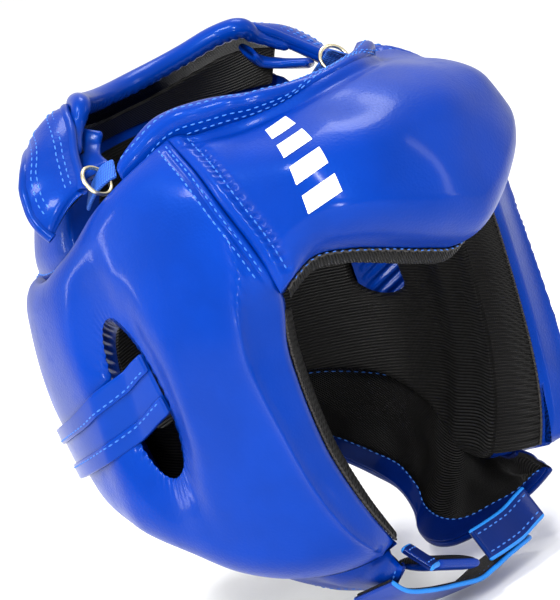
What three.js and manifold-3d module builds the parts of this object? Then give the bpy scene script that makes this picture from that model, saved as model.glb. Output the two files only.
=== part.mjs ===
// Padded boxing headgear: leather covers over foam, a ribbed mesh lining, an open
// face and crown, ear openings crossed by bands, a laced crown and a strapped chin.
//
// Frame, in millimetres: the origin is the middle of the wearer's head, level with
// the ears. The face looks along -Y, +X is the wearer's left and +Z is up.
import * as THREE from 'three';
import { mergeVertices } from 'three/addons/utils/BufferGeometryUtils.js';
import Module from 'manifold-3d';

const wasm = await Module();
wasm.setup();

// ---- driving sizes
const headHalfWidth = 75;
const headFrontLength = 93.5;
const headRearLength = 77;
const crownRise = 115;
const chinDrop = 118;
const padThickness = 27.5;
const foreheadThickness = 41.5;
const browRollTop = 78;
const leatherThickness = 1.6;
const liningThickness = 1.6;
const layerGap = 0.4;
const seamGap = 0.5;
const padEdgeRadius = 18;

const seamTopHeight = 110;
const crownSeamHeight = 113.5;
const browHeight = 34.5;
const sideRearAngle = 140;
const lowTaperHeight = -45;

const earHalfHeight = 35;
const earHalfAngle = 6.9;
const earHeight = 8;
const earAngle = 84.4;
const earRimThickness = 2;

const bandThickness = 2.4;
const bandEdgeThickness = 1.4;
const bandLayerGap = 0.55;
const bandEdgeWidth = 7;
const strapThickness = 2.6;
const rearStrapWidth = 22;

const flapThickness = 4;
const yokeThickness = 7;
const bindingRadius = 4.5;
const laceWidth = 9;
const laceThickness = 1.8;
const ringRadius = 6.6;
const ringWire = 0.8;
const petalWidth = 11;
const petalThickness = 3.2;
const chinStrapWidth = 24;
const chinPadThickness = 6;

// ---- the head-shaped space that every pad follows
const outerRise = crownRise + 0.9 * padThickness;
const outerDrop = chinDrop + 3;
const DEG = Math.PI / 180;

// A height on the outer surface as the running value -1 (chin) .. 1 (crown).
function level(z) {
  return Math.asin(z / (z > 0 ? outerRise : outerDrop)) * 2 / Math.PI;
}

// Point at angle t (degrees from the front), level v, and depth w, where 0 is the
// lining next to the head and 1 is the outer leather.
function shell(t, v, w) {
  const s = Math.sin(v * Math.PI / 2);
  const q = Math.abs(s);
  const innerShare = s > 0 ? (1 - q ** 2.4) ** (1 / 2.4) : (1 - q ** 2.4) ** 0.5;
  const outerShare = s > 0 ? innerShare : (1 - q ** 4) ** (1 / 3);
  const innerZ = s * (s > 0 ? crownRise : chinDrop);
  const outerZ = s * (s > 0 ? outerRise : outerDrop);
  const sin = Math.sin(t * DEG);
  const cos = Math.cos(t * DEG);
  const length = cos > 0 ? headFrontLength : headRearLength;
  const inner = new THREE.Vector3(
    headHalfWidth * innerShare * sin, -length * innerShare * cos, innerZ);
  const outer = new THREE.Vector3(
    (headHalfWidth + padThickness) * outerShare * sin,
    -(length + padThickness) * outerShare * cos, outerZ);
  return inner.lerp(outer, w);
}

// ---- closed meshes from grids
function closedGeometry(vertices, triangles) {
  const geometry = new THREE.BufferGeometry();
  const flat = vertices.flatMap((p) => [p.x, p.y, p.z]);
  geometry.setAttribute('position', new THREE.Float32BufferAttribute(flat, 3));
  geometry.setIndex(triangles);
  return facingOut(geometry);
}

function signedVolume(geometry) {
  const p = geometry.attributes.position;
  const index = geometry.index.array;
  const a = new THREE.Vector3();
  const b = new THREE.Vector3();
  const c = new THREE.Vector3();
  let sum = 0;
  for (let i = 0; i < index.length; i += 3) {
    a.fromBufferAttribute(p, index[i]);
    b.fromBufferAttribute(p, index[i + 1]);
    c.fromBufferAttribute(p, index[i + 2]);
    sum += a.dot(b.cross(c)) / 6;
  }
  return sum;
}

function facingOut(geometry) {
  if (signedVolume(geometry) < 0) {
    const index = geometry.index.array;
    for (let i = 0; i < index.length; i += 3) {
      [index[i + 1], index[i + 2]] = [index[i + 2], index[i + 1]];
    }
  }
  return geometry;
}

// Indices of a grid's outline, once round.
function outline(na, nb) {
  const ring = [];
  for (let i = 0; i < na; i++) ring.push([i, 0]);
  for (let j = 0; j < nb; j++) ring.push([na, j]);
  for (let i = na; i > 0; i--) ring.push([i, nb]);
  for (let j = nb; j > 0; j--) ring.push([0, j]);
  return ring;
}

// A closed solid from two matching grids joined through a list of outline rings.
function wrapped(na, nb, first, last, rings = []) {
  const vertices = [];
  const triangles = [];
  const addGrid = (f) => {
    const base = vertices.length;
    for (let j = 0; j <= nb; j++) for (let i = 0; i <= na; i++) vertices.push(f(i, j));
    return base;
  };
  const at = (base, i, j) => base + j * (na + 1) + i;
  const faces = (base, flip) => {
    for (let j = 0; j < nb; j++) {
      for (let i = 0; i < na; i++) {
        const [p, q] = [at(base, i, j), at(base, i + 1, j)];
        const [r, s] = [at(base, i + 1, j + 1), at(base, i, j + 1)];
        triangles.push(...(flip ? [p, r, q, p, s, r] : [p, q, r, p, r, s]));
      }
    }
  };
  const ring = outline(na, nb);
  const firstBase = addGrid(first);
  const lastBase = addGrid(last);
  faces(firstBase, false);
  faces(lastBase, true);
  let from = ring.map(([i, j]) => at(firstBase, i, j));
  const steps = rings.map((f) => {
    const base = vertices.length;
    ring.forEach(([i, j]) => vertices.push(f(i, j)));
    return ring.map((_, k) => base + k);
  });
  steps.push(ring.map(([i, j]) => at(lastBase, i, j)));
  for (const to of steps) {
    for (let k = 0; k < ring.length; k++) {
      const n = (k + 1) % ring.length;
      triangles.push(from[k], to[k], to[n], from[k], to[n], from[n]);
    }
    from = to;
  }
  return closedGeometry(vertices, triangles);
}

// Grid values from 0 to 1 that lie closer together near both ends.
const spread = (i, n, pull = 0.55) => i / n - pull * Math.sin(2 * Math.PI * i / n) / (2 * Math.PI);

// A slab of even thickness about the surface f(u, s), along its own normals.
function slab(f, nu, ns, thickness) {
  const step = 0.002;
  const normal = (u, s) => {
    const du = f(Math.min(u + step, 1), s).sub(f(Math.max(u - step, 0), s));
    const ds = f(u, Math.min(s + step, 1)).sub(f(u, Math.max(s - step, 0)));
    return du.cross(ds).normalize();
  };
  const side = (d) => (i, j) => {
    const [u, s] = [i / nu, j / ns];
    return f(u, s).addScaledVector(normal(u, s), d);
  };
  return wrapped(nu, ns, side(thickness / 2), side(-thickness / 2));
}

// ---- manifold-3d cuts
function solid(geometry) {
  const bare = geometry.clone();
  bare.deleteAttribute('normal');
  bare.deleteAttribute('uv');
  const merged = mergeVertices(bare, 1e-4);
  return new wasm.Manifold(new wasm.Mesh({
    numProp: 3,
    vertProperties: Float32Array.from(merged.attributes.position.array),
    triVerts: Uint32Array.from(merged.index.array),
  }));
}

function cut(geometry, tool) {
  const mesh = solid(geometry).subtract(solid(tool)).getMesh();
  const result = new THREE.BufferGeometry();
  result.setAttribute('position', new THREE.BufferAttribute(mesh.vertProperties, 3));
  result.setIndex(new THREE.BufferAttribute(mesh.triVerts, 1));
  return result;
}

// ---- outlines on the head: points are [angle, height]
const ANGLE_UNIT = 90;
const BISECTIONS = 30;

function edge(points) {
  const curve = new THREE.SplineCurve(
    points.map(([t, z]) => new THREE.Vector2(t / ANGLE_UNIT, level(z))));
  return (u) => curve.getPointAt(u);
}

// How far along an edge its angle ('x') or its level ('y') first reaches a value.
function shareAt(curve, key, value) {
  let [low, high] = [0, 1];
  for (let k = 0; k < BISECTIONS; k++) {
    const middle = (low + high) / 2;
    if (curve(middle)[key] < value) low = middle;
    else high = middle;
  }
  return low;
}

// Free points are drawn for one outer shell, and follow it when its sizes change.
const drawnShell = { halfWidth: 102.5, front: 121, rear: 104.5, rise: 139.75, drop: 121 };

function onShell([x, y, z]) {
  const halfWidth = (headHalfWidth + padThickness) / drawnShell.halfWidth;
  const front = (headFrontLength + padThickness) / drawnShell.front;
  const rear = (headRearLength + padThickness) / drawnShell.rear;
  const upright = z < 0 ? outerDrop / drawnShell.drop : outerRise / drawnShell.rise;
  return new THREE.Vector3(x * halfWidth, y * (y < 0 ? front : rear), z * upright);
}

// The patch inside four edges: bottom and top run front to rear, front and rear run up.
function patchOf({ front, rear, bottom, top }) {
  const [c00, c10] = [bottom(0), bottom(1)];
  const [c01, c11] = [top(0), top(1)];
  return (a, b) => {
    const p = bottom(a).multiplyScalar(1 - b).addScaledVector(top(a), b);
    p.addScaledVector(front(b), 1 - a).addScaledVector(rear(b), a);
    p.addScaledVector(c00, -(1 - a) * (1 - b)).addScaledVector(c10, -a * (1 - b));
    p.addScaledVector(c01, -(1 - a) * b).addScaledVector(c11, -a * b);
    return [p.x * ANGLE_UNIT, p.y];
  };
}

const rounded = (x) => (x >= 1 ? 1 : Math.sqrt(1 - (1 - Math.max(x, 0)) ** 2));

// A pad: three layers between the lining (w 0) and a pillow-shaped outer face.
function pad({ patch, size, na, nb, depth, edgeDepth = () => 0.6, radius = padEdgeRadius,
  side = 1 }) {
  const [la, lb] = size;
  const outerDepth = (a, b, t, v) => {
    const swell = rounded(a * la / radius) * rounded((1 - a) * la / radius)
      * rounded(b * lb / radius) * rounded((1 - b) * lb / radius);
    return edgeDepth(t, v) + (depth(t, v) - edgeDepth(t, v)) * swell;
  };
  const skin = leatherThickness / padThickness;
  const gap = layerGap / padThickness;
  const lining = liningThickness / padThickness;
  const place = (i, j, inset) => [
    spread(i, na) * (1 - 2 * inset / la) + inset / la,
    spread(j, nb) * (1 - 2 * inset / lb) + inset / lb,
  ];
  // Every layer takes its depth from the outer face's own vertex, so that no facets cross.
  const point = (inset, w) => (i, j) => {
    const outer = place(i, j, seamGap / 2);
    const [t, v] = patch(...place(i, j, inset));
    return shell(side * t, v, w(outerDepth(...outer, ...patch(...outer))));
  };
  const wall = seamGap / 2 + leatherThickness;
  const filling = wall + layerGap;
  return {
    cover: wrapped(na, nb, point(seamGap / 2, (w) => w), point(wall, (w) => w - skin),
      [point(seamGap / 2, () => 0), point(wall, () => 0)]),
    foam: wrapped(na, nb, point(filling, (w) => w - skin - gap),
      point(filling, () => lining + gap)),
    lining: wrapped(na, nb, point(filling, () => lining), point(filling, () => 0)),
  };
}

// ---- ear openings
// The opening leans back on its way in, so its inner mouth is behind the outer one.
const earLeanAngle = 12;
const earLeanHeight = -13;

function earPoint(phi, w, grow = 0) {
  const rise = (earHalfHeight + 6 * (1 - w) + grow) * Math.sin(phi);
  const angle = (earHalfAngle + 2 * (1 - w) + grow * 0.6) * Math.cos(phi);
  const z = earHeight + earLeanHeight * (1 - w) + rise;
  const t = earAngle + earLeanAngle * (1 - w) + 2.3 * Math.sin(phi) + angle;
  return [t, level(z)];
}

function earPlug(side, grow) {
  const steps = 20;
  const depths = [-0.5, 0, 0.5, 1, 1.35];
  const vertices = [];
  const triangles = [];
  for (const w of depths) {
    for (let k = 0; k < steps; k++) {
      const [t, v] = earPoint(2 * Math.PI * k / steps, w, grow);
      vertices.push(shell(side * t, v, w));
    }
  }
  for (let m = 0; m < depths.length - 1; m++) {
    for (let k = 0; k < steps; k++) {
      const n = (k + 1) % steps;
      const [p, q] = [m * steps + k, m * steps + n];
      triangles.push(p, q, q + steps, p, q + steps, p + steps);
    }
  }
  const last = (depths.length - 1) * steps;
  for (let k = 1; k < steps - 1; k++) {
    triangles.push(0, k + 1, k, last, last + k, last + k + 1);
  }
  return closedGeometry(vertices, triangles);
}

// The gathered leather that turns through the opening and hides the foam.
function earRim(side) {
  const steps = 20;
  const w0 = 0.02;
  const w1 = 0.78;
  const vertices = [];
  const triangles = [];
  const corners = [[w0, 0], [w1, 0], [w1, earRimThickness], [w0, earRimThickness]];
  for (let k = 0; k < steps; k++) {
    for (const [w, grow] of corners) {
      const [t, v] = earPoint(2 * Math.PI * k / steps, w, grow);
      vertices.push(shell(side * t, v, w));
    }
  }
  for (let k = 0; k < steps; k++) {
    const n = (k + 1) % steps;
    for (let c = 0; c < 4; c++) {
      const d = (c + 1) % 4;
      triangles.push(4 * k + c, 4 * n + c, 4 * n + d, 4 * k + c, 4 * n + d, 4 * k + d);
    }
  }
  return closedGeometry(vertices, triangles);
}

// ---- node building
const finish = (color, roughness, metalness = 0) =>
  new THREE.MeshStandardMaterial({ color, roughness, metalness });
const blueLeather = finish(0x0a3fc4, 0.35);
const foamGrey = finish(0x8d9096, 0.9);
const blackMesh = finish(0x17171a, 0.8);
const blueWebbing = finish(0x1550d2, 0.7);
const brassWire = finish(0xa8985e, 0.35, 1);
const hookTape = finish(0x101012, 0.9);

const headgear = new THREE.Group();
headgear.name = 'boxing_headgear';

function add(name, geometry, material) {
  const mesh = new THREE.Mesh(geometry, material);
  mesh.name = name;
  headgear.add(mesh);
  return mesh;
}

function addPad(name, layers) {
  add(`${name}_cover`, layers.cover, blueLeather);
  add(`${name}_foam`, layers.foam, foamGrey);
  add(`${name}_lining`, layers.lining, blackMesh);
}

// ---- forehead
const templeSeam = [[47, 41], [49.5, 58.5], [53.4, 75.4], [58.8, 94.2], [66.6, seamTopHeight]];
const mirrored = (points) => points.map(([t, z]) => [-t, z]);

const browHalf = [[47, 41], [38, 52], [29, 51], [20, 46], [10, 39.5]];
const browLine = edge([...mirrored(browHalf), [0, browHeight], ...browHalf.toReversed()]);

function foreheadPad() {
  const topHalf = [[66.6, seamTopHeight], [48, crownSeamHeight - 0.7], [29, crownSeamHeight]];
  const top = [...mirrored(topHalf), [0, crownSeamHeight], ...topHalf.toReversed()];
  const patch = patchOf({
    front: edge(mirrored(templeSeam)), rear: edge(templeSeam), bottom: browLine, top: edge(top),
  });
  // The middle is the thickest part, and the pad thins towards the temples and the crown.
  const thinning = (v) => THREE.MathUtils.smoothstep(v, level(browRollTop), level(crownSeamHeight));
  const aside = (t, from, to) => THREE.MathUtils.smoothstep(Math.abs(t), from, to);
  const topDepth = (t) => 0.8 - 0.36 * aside(t, 0, 45);
  const rollDepth = (t) => 1 + (foreheadThickness / padThickness - 1) * (1 - aside(t, 15, 55));
  const depth = (t, v) => THREE.MathUtils.lerp(rollDepth(t), topDepth(t) + 0.04, thinning(v));
  const edgeDepth = (t, v) => THREE.MathUtils.lerp(0.66, topDepth(t), thinning(v));
  return pad({ patch, size: [190, 88], na: 16, nb: 8, edgeDepth, depth });
}
addPad('forehead', foreheadPad());

// ---- sides: temple, cheek and ear in one pad
const cheekEdge = [[37, -74], [41, -60.5], [44, -47], [46.8, -30], [48.2, -14], [49, 4], [49, 20]];
const sideBottom = [[37, -74], [45, -79], [55, -80.5], [65, -78.5], [75, -72.5], [85, -62],
  [95, -54], [107, -47], [124, -42], [sideRearAngle, -40]];
const sideTop = [[66.6, seamTopHeight], [78.5, 98], [83, 93], [88, 86.7], [96, 74], [103.3, 66],
  [112, 58.5], [125, 53.5], [sideRearAngle, 51]];

const sideFront = edge([...cheekEdge, ...templeSeam]);

// How far the outer leather stands out at angle t and level v; it thins to the rear and below.
function rearDepth(t, v) {
  const rear = THREE.MathUtils.smoothstep(t, 92, 138);
  const below = THREE.MathUtils.smoothstep(-v, 0, -level(lowTaperHeight));
  return 1 - (0.16 + 0.22 * below) * rear;
}

function sidePad(side) {
  const patch = patchOf({
    front: sideFront,
    rear: edge([[sideRearAngle, -40], [sideRearAngle, 51]]),
    bottom: edge(sideBottom),
    top: edge(sideTop),
  });
  // The face dips towards the ear opening, and the pad thins towards the nape.
  const depth = (t, v) => {
    const up = (v - level(earHeight)) / (level(earHeight + earHalfHeight) - level(earHeight));
    const along = (t - earAngle - 2.3 * up) / earHalfAngle;
    const away = Math.max(Math.hypot(up, along) - 1, 0);
    return rearDepth(t, v) - 0.2 * Math.exp(-((away / 0.55) ** 2));
  };
  const layers = pad({ patch, size: [195, 165], na: 13, nb: 9, depth, side });
  const clear = earRimThickness + 0.7;
  layers.cover = cut(layers.cover, earPlug(side, clear));
  layers.foam = cut(layers.foam, earPlug(side, clear + 0.9));
  layers.lining = cut(layers.lining, earPlug(side, clear));
  return layers;
}

const SIDES = [['right', -1], ['left', 1]];
for (const [hand, side] of SIDES) {
  addPad(`${hand}_side`, sidePad(side));
  add(`${hand}_ear_rim`, earRim(side), blueLeather);
}

// The ribbed lining turned round the front edges of the cheeks and the brow.
function turnedEdge(run, side, count) {
  const f = (u, s) => {
    const p = run(u);
    return shell(side * p.x * ANGLE_UNIT, p.y, 0.03 + 0.5 * s);
  };
  return slab(f, count, 1, liningThickness - 0.4);
}

const faceClear = 1.6;
const browClear = 1.6;
const faceEdgeTop = 34;
const faceEdgeShare = shareAt(sideFront, 'y', level(faceEdgeTop));
for (const [hand, side] of SIDES) {
  const run = (u) => sideFront(u * faceEdgeShare).sub(new THREE.Vector2(faceClear / ANGLE_UNIT, 0));
  add(`${hand}_face_edge`, turnedEdge(run, side, 14), blackMesh);
}
const browRun = (u) => browLine(0.03 + 0.94 * u).sub(new THREE.Vector2(0, level(browClear)));
add('brow_edge', turnedEdge(browRun, 1, 20), blackMesh);

// ---- back of the head
const backFrontAngle = 101;
const yokeRearHeight = 96;
const backOverYoke = padThickness * 16 / 55;
const backTopHeight = yokeRearHeight * outerRise / drawnShell.rise + backOverYoke;
const backDepth = 0.66;

function backPad() {
  const half = [[backFrontAngle, 69.5], [112, 60], [125, 55], [140, 52.5], [160, 52]];
  const rearHalf = half.map(([t, z]) => [360 - t, z]).toReversed();
  const top = [[backFrontAngle + 7, backTopHeight - 6], [125, backTopHeight], [180, backTopHeight],
    [235, backTopHeight], [360 - backFrontAngle - 7, backTopHeight - 6]];
  const patch = patchOf({
    front: edge([half[0], top[0]]),
    rear: edge([rearHalf.at(-1), top.at(-1)]),
    bottom: edge([...half, [180, 52], ...rearHalf]),
    top: edge(top),
  });
  return pad({ patch, size: [200, 60], na: 14, nb: 5, edgeDepth: () => 0.5, depth: () => backDepth });
}
addPad('back', backPad());

function napePad() {
  const [a0, a1, low, high] = [sideRearAngle + 0.6, 359.4 - sideRearAngle, -40, 51];
  const patch = patchOf({
    front: edge([[a0, low], [a0, high]]),
    rear: edge([[a1, low], [a1, high]]),
    bottom: edge([[a0, low], [180, low - 3], [a1, low]]),
    top: edge([[a0, high], [180, high - 0.5], [a1, high]]),
  });
  return pad({ patch, size: [130, 92], na: 8, nb: 5, edgeDepth: () => 0.5, depth: rearDepth });
}
addPad('nape', napePad());

// ---- crown
// Strip between two space curves given as lists of points, bulged by a share of its width.
function strip(first, second, bulge) {
  const a = new THREE.CatmullRomCurve3(first);
  const b = new THREE.CatmullRomCurve3(second);
  return (u, s) => {
    const [p, q] = [a.getPointAt(u), b.getPointAt(u)];
    const out = bulge(u).multiplyScalar(4 * s * (1 - s));
    return p.lerp(q, s).add(out);
  };
}
const mirror = (points) => points.map(([x, y, z]) => [-x, y, z]);
const acrossRear = (half) => [...mirror(half), ...half.slice(0, -1).toReversed()].map(onShell);

const yokeInner = [[80, 3, 89], [76, 6.5, 93.5], [69.5, 13.5, 101.5], [61, 20, 110], [53, 28, 115],
  [38, 41, 111.5], [19, 53, 107], [0, 57, 105.5]];
const yokeOuter = [[95, 11, 76], [96, 15, 81], [94, 20, 87], [90, 24, 95], [80, 29, 102],
  [61, 45, 102], [33, 62, 98], [0, 69, yokeRearHeight]];

function yoke() {
  const f = strip(acrossRear(yokeInner), acrossRear(yokeOuter), () => new THREE.Vector3(0, 0, 2));
  return slab(f, 28, 2, yokeThickness);
}
add('crown_yoke', yoke(), blueLeather);

// A solid rod of an oval section along a curve.
function rod(points, width, height, steps, sides = 8) {
  const section = new THREE.Shape();
  for (let k = 0; k < sides; k++) {
    const angle = 2 * Math.PI * k / sides;
    const [x, y] = [width / 2 * Math.cos(angle), height / 2 * Math.sin(angle)];
    if (k === 0) section.moveTo(x, y);
    else section.lineTo(x, y);
  }
  section.closePath();
  const path = new THREE.CatmullRomCurve3(points);
  const geometry = new THREE.ExtrudeGeometry(section, { steps, extrudePath: path });
  geometry.deleteAttribute('normal');
  geometry.deleteAttribute('uv');
  return facingOut(mergeVertices(geometry, 1e-4));
}

// The gathered roll along the yoke's front edge, between the two wings.
const bindingHalf = [[50, 22, 116.5], [43, 31, 116], [31, 40.5, 112.5], [17, 47.5, 110], [0, 50.5, 109]];
add('crown_binding', rod(acrossRear(bindingHalf), 2 * bindingRadius, 2 * bindingRadius, 22), blueLeather);

// The ribbed lining that hangs from the roll down to the back pad's own lining.
const liningRise = 3;

function yokeLining() {
  const upper = [[45, 30, 105.5], [34, 39, 103], [18, 47, 100.5], [0, 50, 99.5]];
  const rim = (t) => shell(t, level(backTopHeight), 0.1).add(new THREE.Vector3(0, 0, liningRise));
  const lower = [236, 220, 200, 180, 160, 140, 124].map(rim);
  return slab(strip(acrossRear(upper), lower, () => new THREE.Vector3()), 20, 2, liningThickness);
}
add('yoke_lining', yokeLining(), blackMesh);

function crownFlap() {
  const gap = 1.4;
  const frontHalf = [[82, 94.5 + gap], [77, 99.5 + gap], [66.6, seamTopHeight + gap],
    [48, crownSeamHeight + gap], [29, crownSeamHeight + gap]];
  const rearHalf = [[82, 103], [78, 110], [69, 117.5], [52, 119.5], [29, 117]];
  const patch = patchOf({
    front: edge([frontHalf[0], rearHalf[0]].map(([t, z]) => [-t, z])),
    rear: edge([frontHalf[0], rearHalf[0]]),
    bottom: edge([...mirrored(frontHalf), [0, crownSeamHeight + gap], ...frontHalf.toReversed()]),
    top: edge([...mirrored(rearHalf), [0, 116.5], ...rearHalf.toReversed()]),
  });
  const n = [20, 3];
  const at = (w) => (i, j) => {
    const [t, v] = patch(i / n[0], spread(j, n[1], 0.3));
    return shell(t, v, w + 0.08 * Math.sin(Math.PI * j / n[1]));
  };
  return wrapped(...n, at(0.78), at(0.5));
}
add('crown_flap', crownFlap(), blueLeather);

// Lace, ring and petal on each side of the crown opening, for the wearer's left.
const laceRoute = [[72.5, 9, 83.5], [73.8, 3, 88.6], [74.2, -3, 93], [73, -6.5, 95], [71, -9.5, 95.8]];
const ringCentre = onShell([75.2, -1.6, 92.5]);
const laceWay = new THREE.Vector3(-0.15, -0.83, 0.54);
const petalRoute = [[50, 22, 107], [55, 22, 101], [62, 16, 96.5], [68.2, 5, 93.6]];
for (const [hand, side] of SIDES) {
  const turn = ([x, y, z]) => onShell([side * x, y, z]);
  add(`${hand}_crown_lace`, rod(laceRoute.map(turn), laceThickness, laceWidth, 9), blueWebbing);
  const torus = new THREE.TorusGeometry(ringRadius, ringWire, 6, 20);
  const ring = add(`${hand}_lace_ring`, torus, brassWire);
  ring.position.set(side * ringCentre.x, ringCentre.y, ringCentre.z);
  ring.quaternion.setFromUnitVectors(new THREE.Vector3(0, 0, 1),
    new THREE.Vector3(side * laceWay.x, laceWay.y, laceWay.z).normalize());
  add(`${hand}_crown_petal`, rod(petalRoute.map(turn), petalThickness, petalWidth, 9), blueLeather);
}

// ---- bands across the ear openings and round to the nape
// The band's upper and lower edges as heights at an angle from the front.
const bandFront = 81.8;
const bandEnd = 171;
const bandClear = 2.2;
const bandUpper = edge([[bandFront + 3, 23], [90, 16.5], [105, 1.5], [125, -11], [150, -20],
  [bandEnd, -24]]);
const bandLower = edge([[bandFront, -2.5], [90, -12], [105, -22.5], [125, -33], [150, -42],
  [bandEnd, -46]]);

// The band leaves the front wall of the opening and rises onto the outside of the pad.
function bandDepth(t, v, lift) {
  const rise = THREE.MathUtils.smoothstep(t, bandFront, 97);
  return 0.66 + (rearDepth(t, v) + bandClear / padThickness - 0.66) * rise + lift / padThickness;
}

function bandStrip(side, from, to, lift, thickness, begin = 0, end = 1) {
  const f = (u, s) => {
    const along = begin + (end - begin) * u;
    const [p, q] = [bandUpper(along), bandLower(along)];
    const mix = p.lerp(q, from + (to - from) * s);
    return shell(side * mix.x * ANGLE_UNIT, mix.y, bandDepth(mix.x * ANGLE_UNIT, mix.y, lift));
  };
  return slab(f, Math.ceil(18 * (end - begin)), 1, thickness);
}
const bandWidth = 27;
const edgeShare = bandEdgeWidth / bandWidth;
const edgeLift = (bandThickness + bandEdgeThickness) / 2 + bandLayerGap;
for (const [hand, side] of SIDES) {
  add(`${hand}_ear_band`, bandStrip(side, 0, 1, 0, bandThickness), blueLeather);
  for (const [place, from] of [['upper', 0], ['lower', 1 - edgeShare]]) {
    const folded = bandStrip(side, from, from + edgeShare, edgeLift, bandEdgeThickness);
    add(`${hand}_ear_band_${place}_fold`, folded, blueLeather);
  }
}

// ---- hook-and-loop closure at the nape
add('nape_loop_pad', bandStrip(1, 0.36, 0.64, edgeLift, bandEdgeThickness, 0.72, 0.96), hookTape);

// The strap sewn on the right band's end, over the gap at the nape and onto the loop pad.
const napeStrapFrom = 193;
const napeStrapTo = 154;
function napeStrap() {
  const lift = bandThickness / 2 + bandEdgeThickness + strapThickness / 2 + 1;
  const f = (u, s) => {
    const t = napeStrapFrom + (napeStrapTo - napeStrapFrom) * u;
    const height = -34.5 + 2.5 * Math.abs(t - 180) / 24;
    const z = height + rearStrapWidth * (0.5 - s);
    return shell(t, level(z), bandDepth(Math.min(t, 360 - t), level(z), lift));
  };
  return slab(f, 12, 1, strapThickness);
}
add('nape_strap', napeStrap(), blueLeather);

// ---- neck flaps below the pads, for the wearer's left
const neckEdge = [[50, -80, -84], [46, -70, -92], [37, -60, -98.5], [27, -50, -103.5],
  [22, -40, -106], [23, -29, -106], [29, -18, -103], [36, -11, -96], [42, 0, -89], [44, 14, -83],
  [43, 28, -76], [36, 42, -65]];
const flapAngles = [37.5, 42, 48, 56, 66, 76, 84, 92, 102, 114, 126, 138];
const flapDrop = 3.4;

function neckFlap(side) {
  const bottom = edge(sideBottom);
  const upper = flapAngles.map((t) => {
    const { y } = bottom(shareAt(bottom, 'x', t / ANGLE_UNIT));
    return shell(side * t, y, 0.3).sub(new THREE.Vector3(0, 0, flapDrop));
  });
  const lower = neckEdge.map(([x, y, z]) => onShell([side * x, y, z]));
  const out = new THREE.Vector3(side * 2, 0, -1);
  return slab(strip(upper, lower, () => out.clone()), 20, 4, flapThickness);
}
for (const [hand, side] of SIDES) add(`${hand}_neck_flap`, neckFlap(side), blueLeather);

// ---- chin
// Straps are given by the middle of each width, and the direction of the width.
function strap(middle, across, width, thickness, steps) {
  const curve = new THREE.CatmullRomCurve3(middle.map(onShell));
  const way = new THREE.Vector3(...across).normalize();
  const f = (u, s) => curve.getPointAt(u).addScaledVector(way, width * (s - 0.5));
  return slab(f, steps, 2, thickness);
}
const chinStrapRoute = [[-56, -66, -92], [-49, -66.5, -99], [-36, -67, -104.5], [-19, -67, -109.5],
  [-7, -67, -112.5], [3, -67, -112], [13, -67, -110.8], [24, -67, -110], [35, -67, -110]];
const chinPadRoute = [[-33, -71.5, -90.7], [-25, -71.5, -94], [-9, -71.5, -100.7]];
const leftTabRoute = [[38, -76.5, -94], [31, -76, -95.7], [22, -76, -97.5], [10, -76, -97.8],
  [1, -75, -98]];
const rightTabRoute = [[-47, -85.5, -82.5], [-42, -83, -83.5], [-37, -80.5, -85]];

add('chin_strap', strap(chinStrapRoute, [0, 1, -0.33], chinStrapWidth, strapThickness, 18), hookTape);
add('chin_pad', strap(chinPadRoute, [0, 1, 0], 20, chinPadThickness, 6), blueLeather);
add('left_chin_tab', strap(leftTabRoute, [0, 0.5, 0.85], 13, strapThickness, 8), blueLeather);
add('right_chin_tab', strap(rightTabRoute, [0, 0.8, 0.5], 14, strapThickness, 3), blueLeather);

export default headgear;
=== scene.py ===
"""Boxing headgear: the sewn leather, mesh lining, laces and straps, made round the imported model.

Lengths are in metres and angles in degrees. The face looks along -Y, +X is the wearer's left
and +Z is up. A place on the head is an angle t from the front, a level v from -1 at the chin
to 1 at the crown, and a depth w from 0 at the lining to 1 at the outer leather.
"""
import math

import bpy
import numpy as np
from mathutils import Matrix, Vector


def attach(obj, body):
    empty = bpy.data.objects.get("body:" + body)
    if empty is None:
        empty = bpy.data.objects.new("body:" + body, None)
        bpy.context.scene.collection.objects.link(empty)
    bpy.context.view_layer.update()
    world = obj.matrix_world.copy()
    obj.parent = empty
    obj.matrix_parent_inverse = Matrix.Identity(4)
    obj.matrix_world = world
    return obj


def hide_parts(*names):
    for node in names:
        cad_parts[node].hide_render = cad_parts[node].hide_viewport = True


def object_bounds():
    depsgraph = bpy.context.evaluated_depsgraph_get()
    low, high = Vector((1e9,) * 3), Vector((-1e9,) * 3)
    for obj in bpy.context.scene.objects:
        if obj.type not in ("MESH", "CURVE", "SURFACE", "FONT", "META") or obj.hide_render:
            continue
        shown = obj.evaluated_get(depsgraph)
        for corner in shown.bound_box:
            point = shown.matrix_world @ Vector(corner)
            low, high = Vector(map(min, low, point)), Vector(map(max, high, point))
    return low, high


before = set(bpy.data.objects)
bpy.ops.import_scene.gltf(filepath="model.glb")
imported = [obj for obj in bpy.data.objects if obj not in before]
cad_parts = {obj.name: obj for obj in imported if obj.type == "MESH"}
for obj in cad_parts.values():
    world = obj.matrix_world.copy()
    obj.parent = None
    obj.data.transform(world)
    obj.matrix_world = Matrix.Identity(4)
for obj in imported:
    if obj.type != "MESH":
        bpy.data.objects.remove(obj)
cad_low, cad_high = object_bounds()

MM = 0.001

# ---- the head space that the pads follow -----------------------------------------------------
HEAD_HALF_WIDTH = 75 * MM
HEAD_FRONT = 93.5 * MM
HEAD_REAR = 77 * MM
CROWN_RISE = 115 * MM
CHIN_DROP = 118 * MM
PAD = 27.5 * MM
OUTER_RISE = CROWN_RISE + 0.9 * PAD
OUTER_DROP = CHIN_DROP + 3 * MM
QUARTER = 90
HEAD_MIDDLE = np.array([0, 0, 10 * MM])

STITCH_PITCH = 3.2 * MM
STITCH_LENGTH = 2.1 * MM
THREAD = 0.34 * MM


def level(z):
    """A height on the outer face as a level."""
    z = np.asarray(z, float)
    return np.arcsin(z / np.where(z > 0, OUTER_RISE, OUTER_DROP)) * 2 / np.pi


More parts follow.
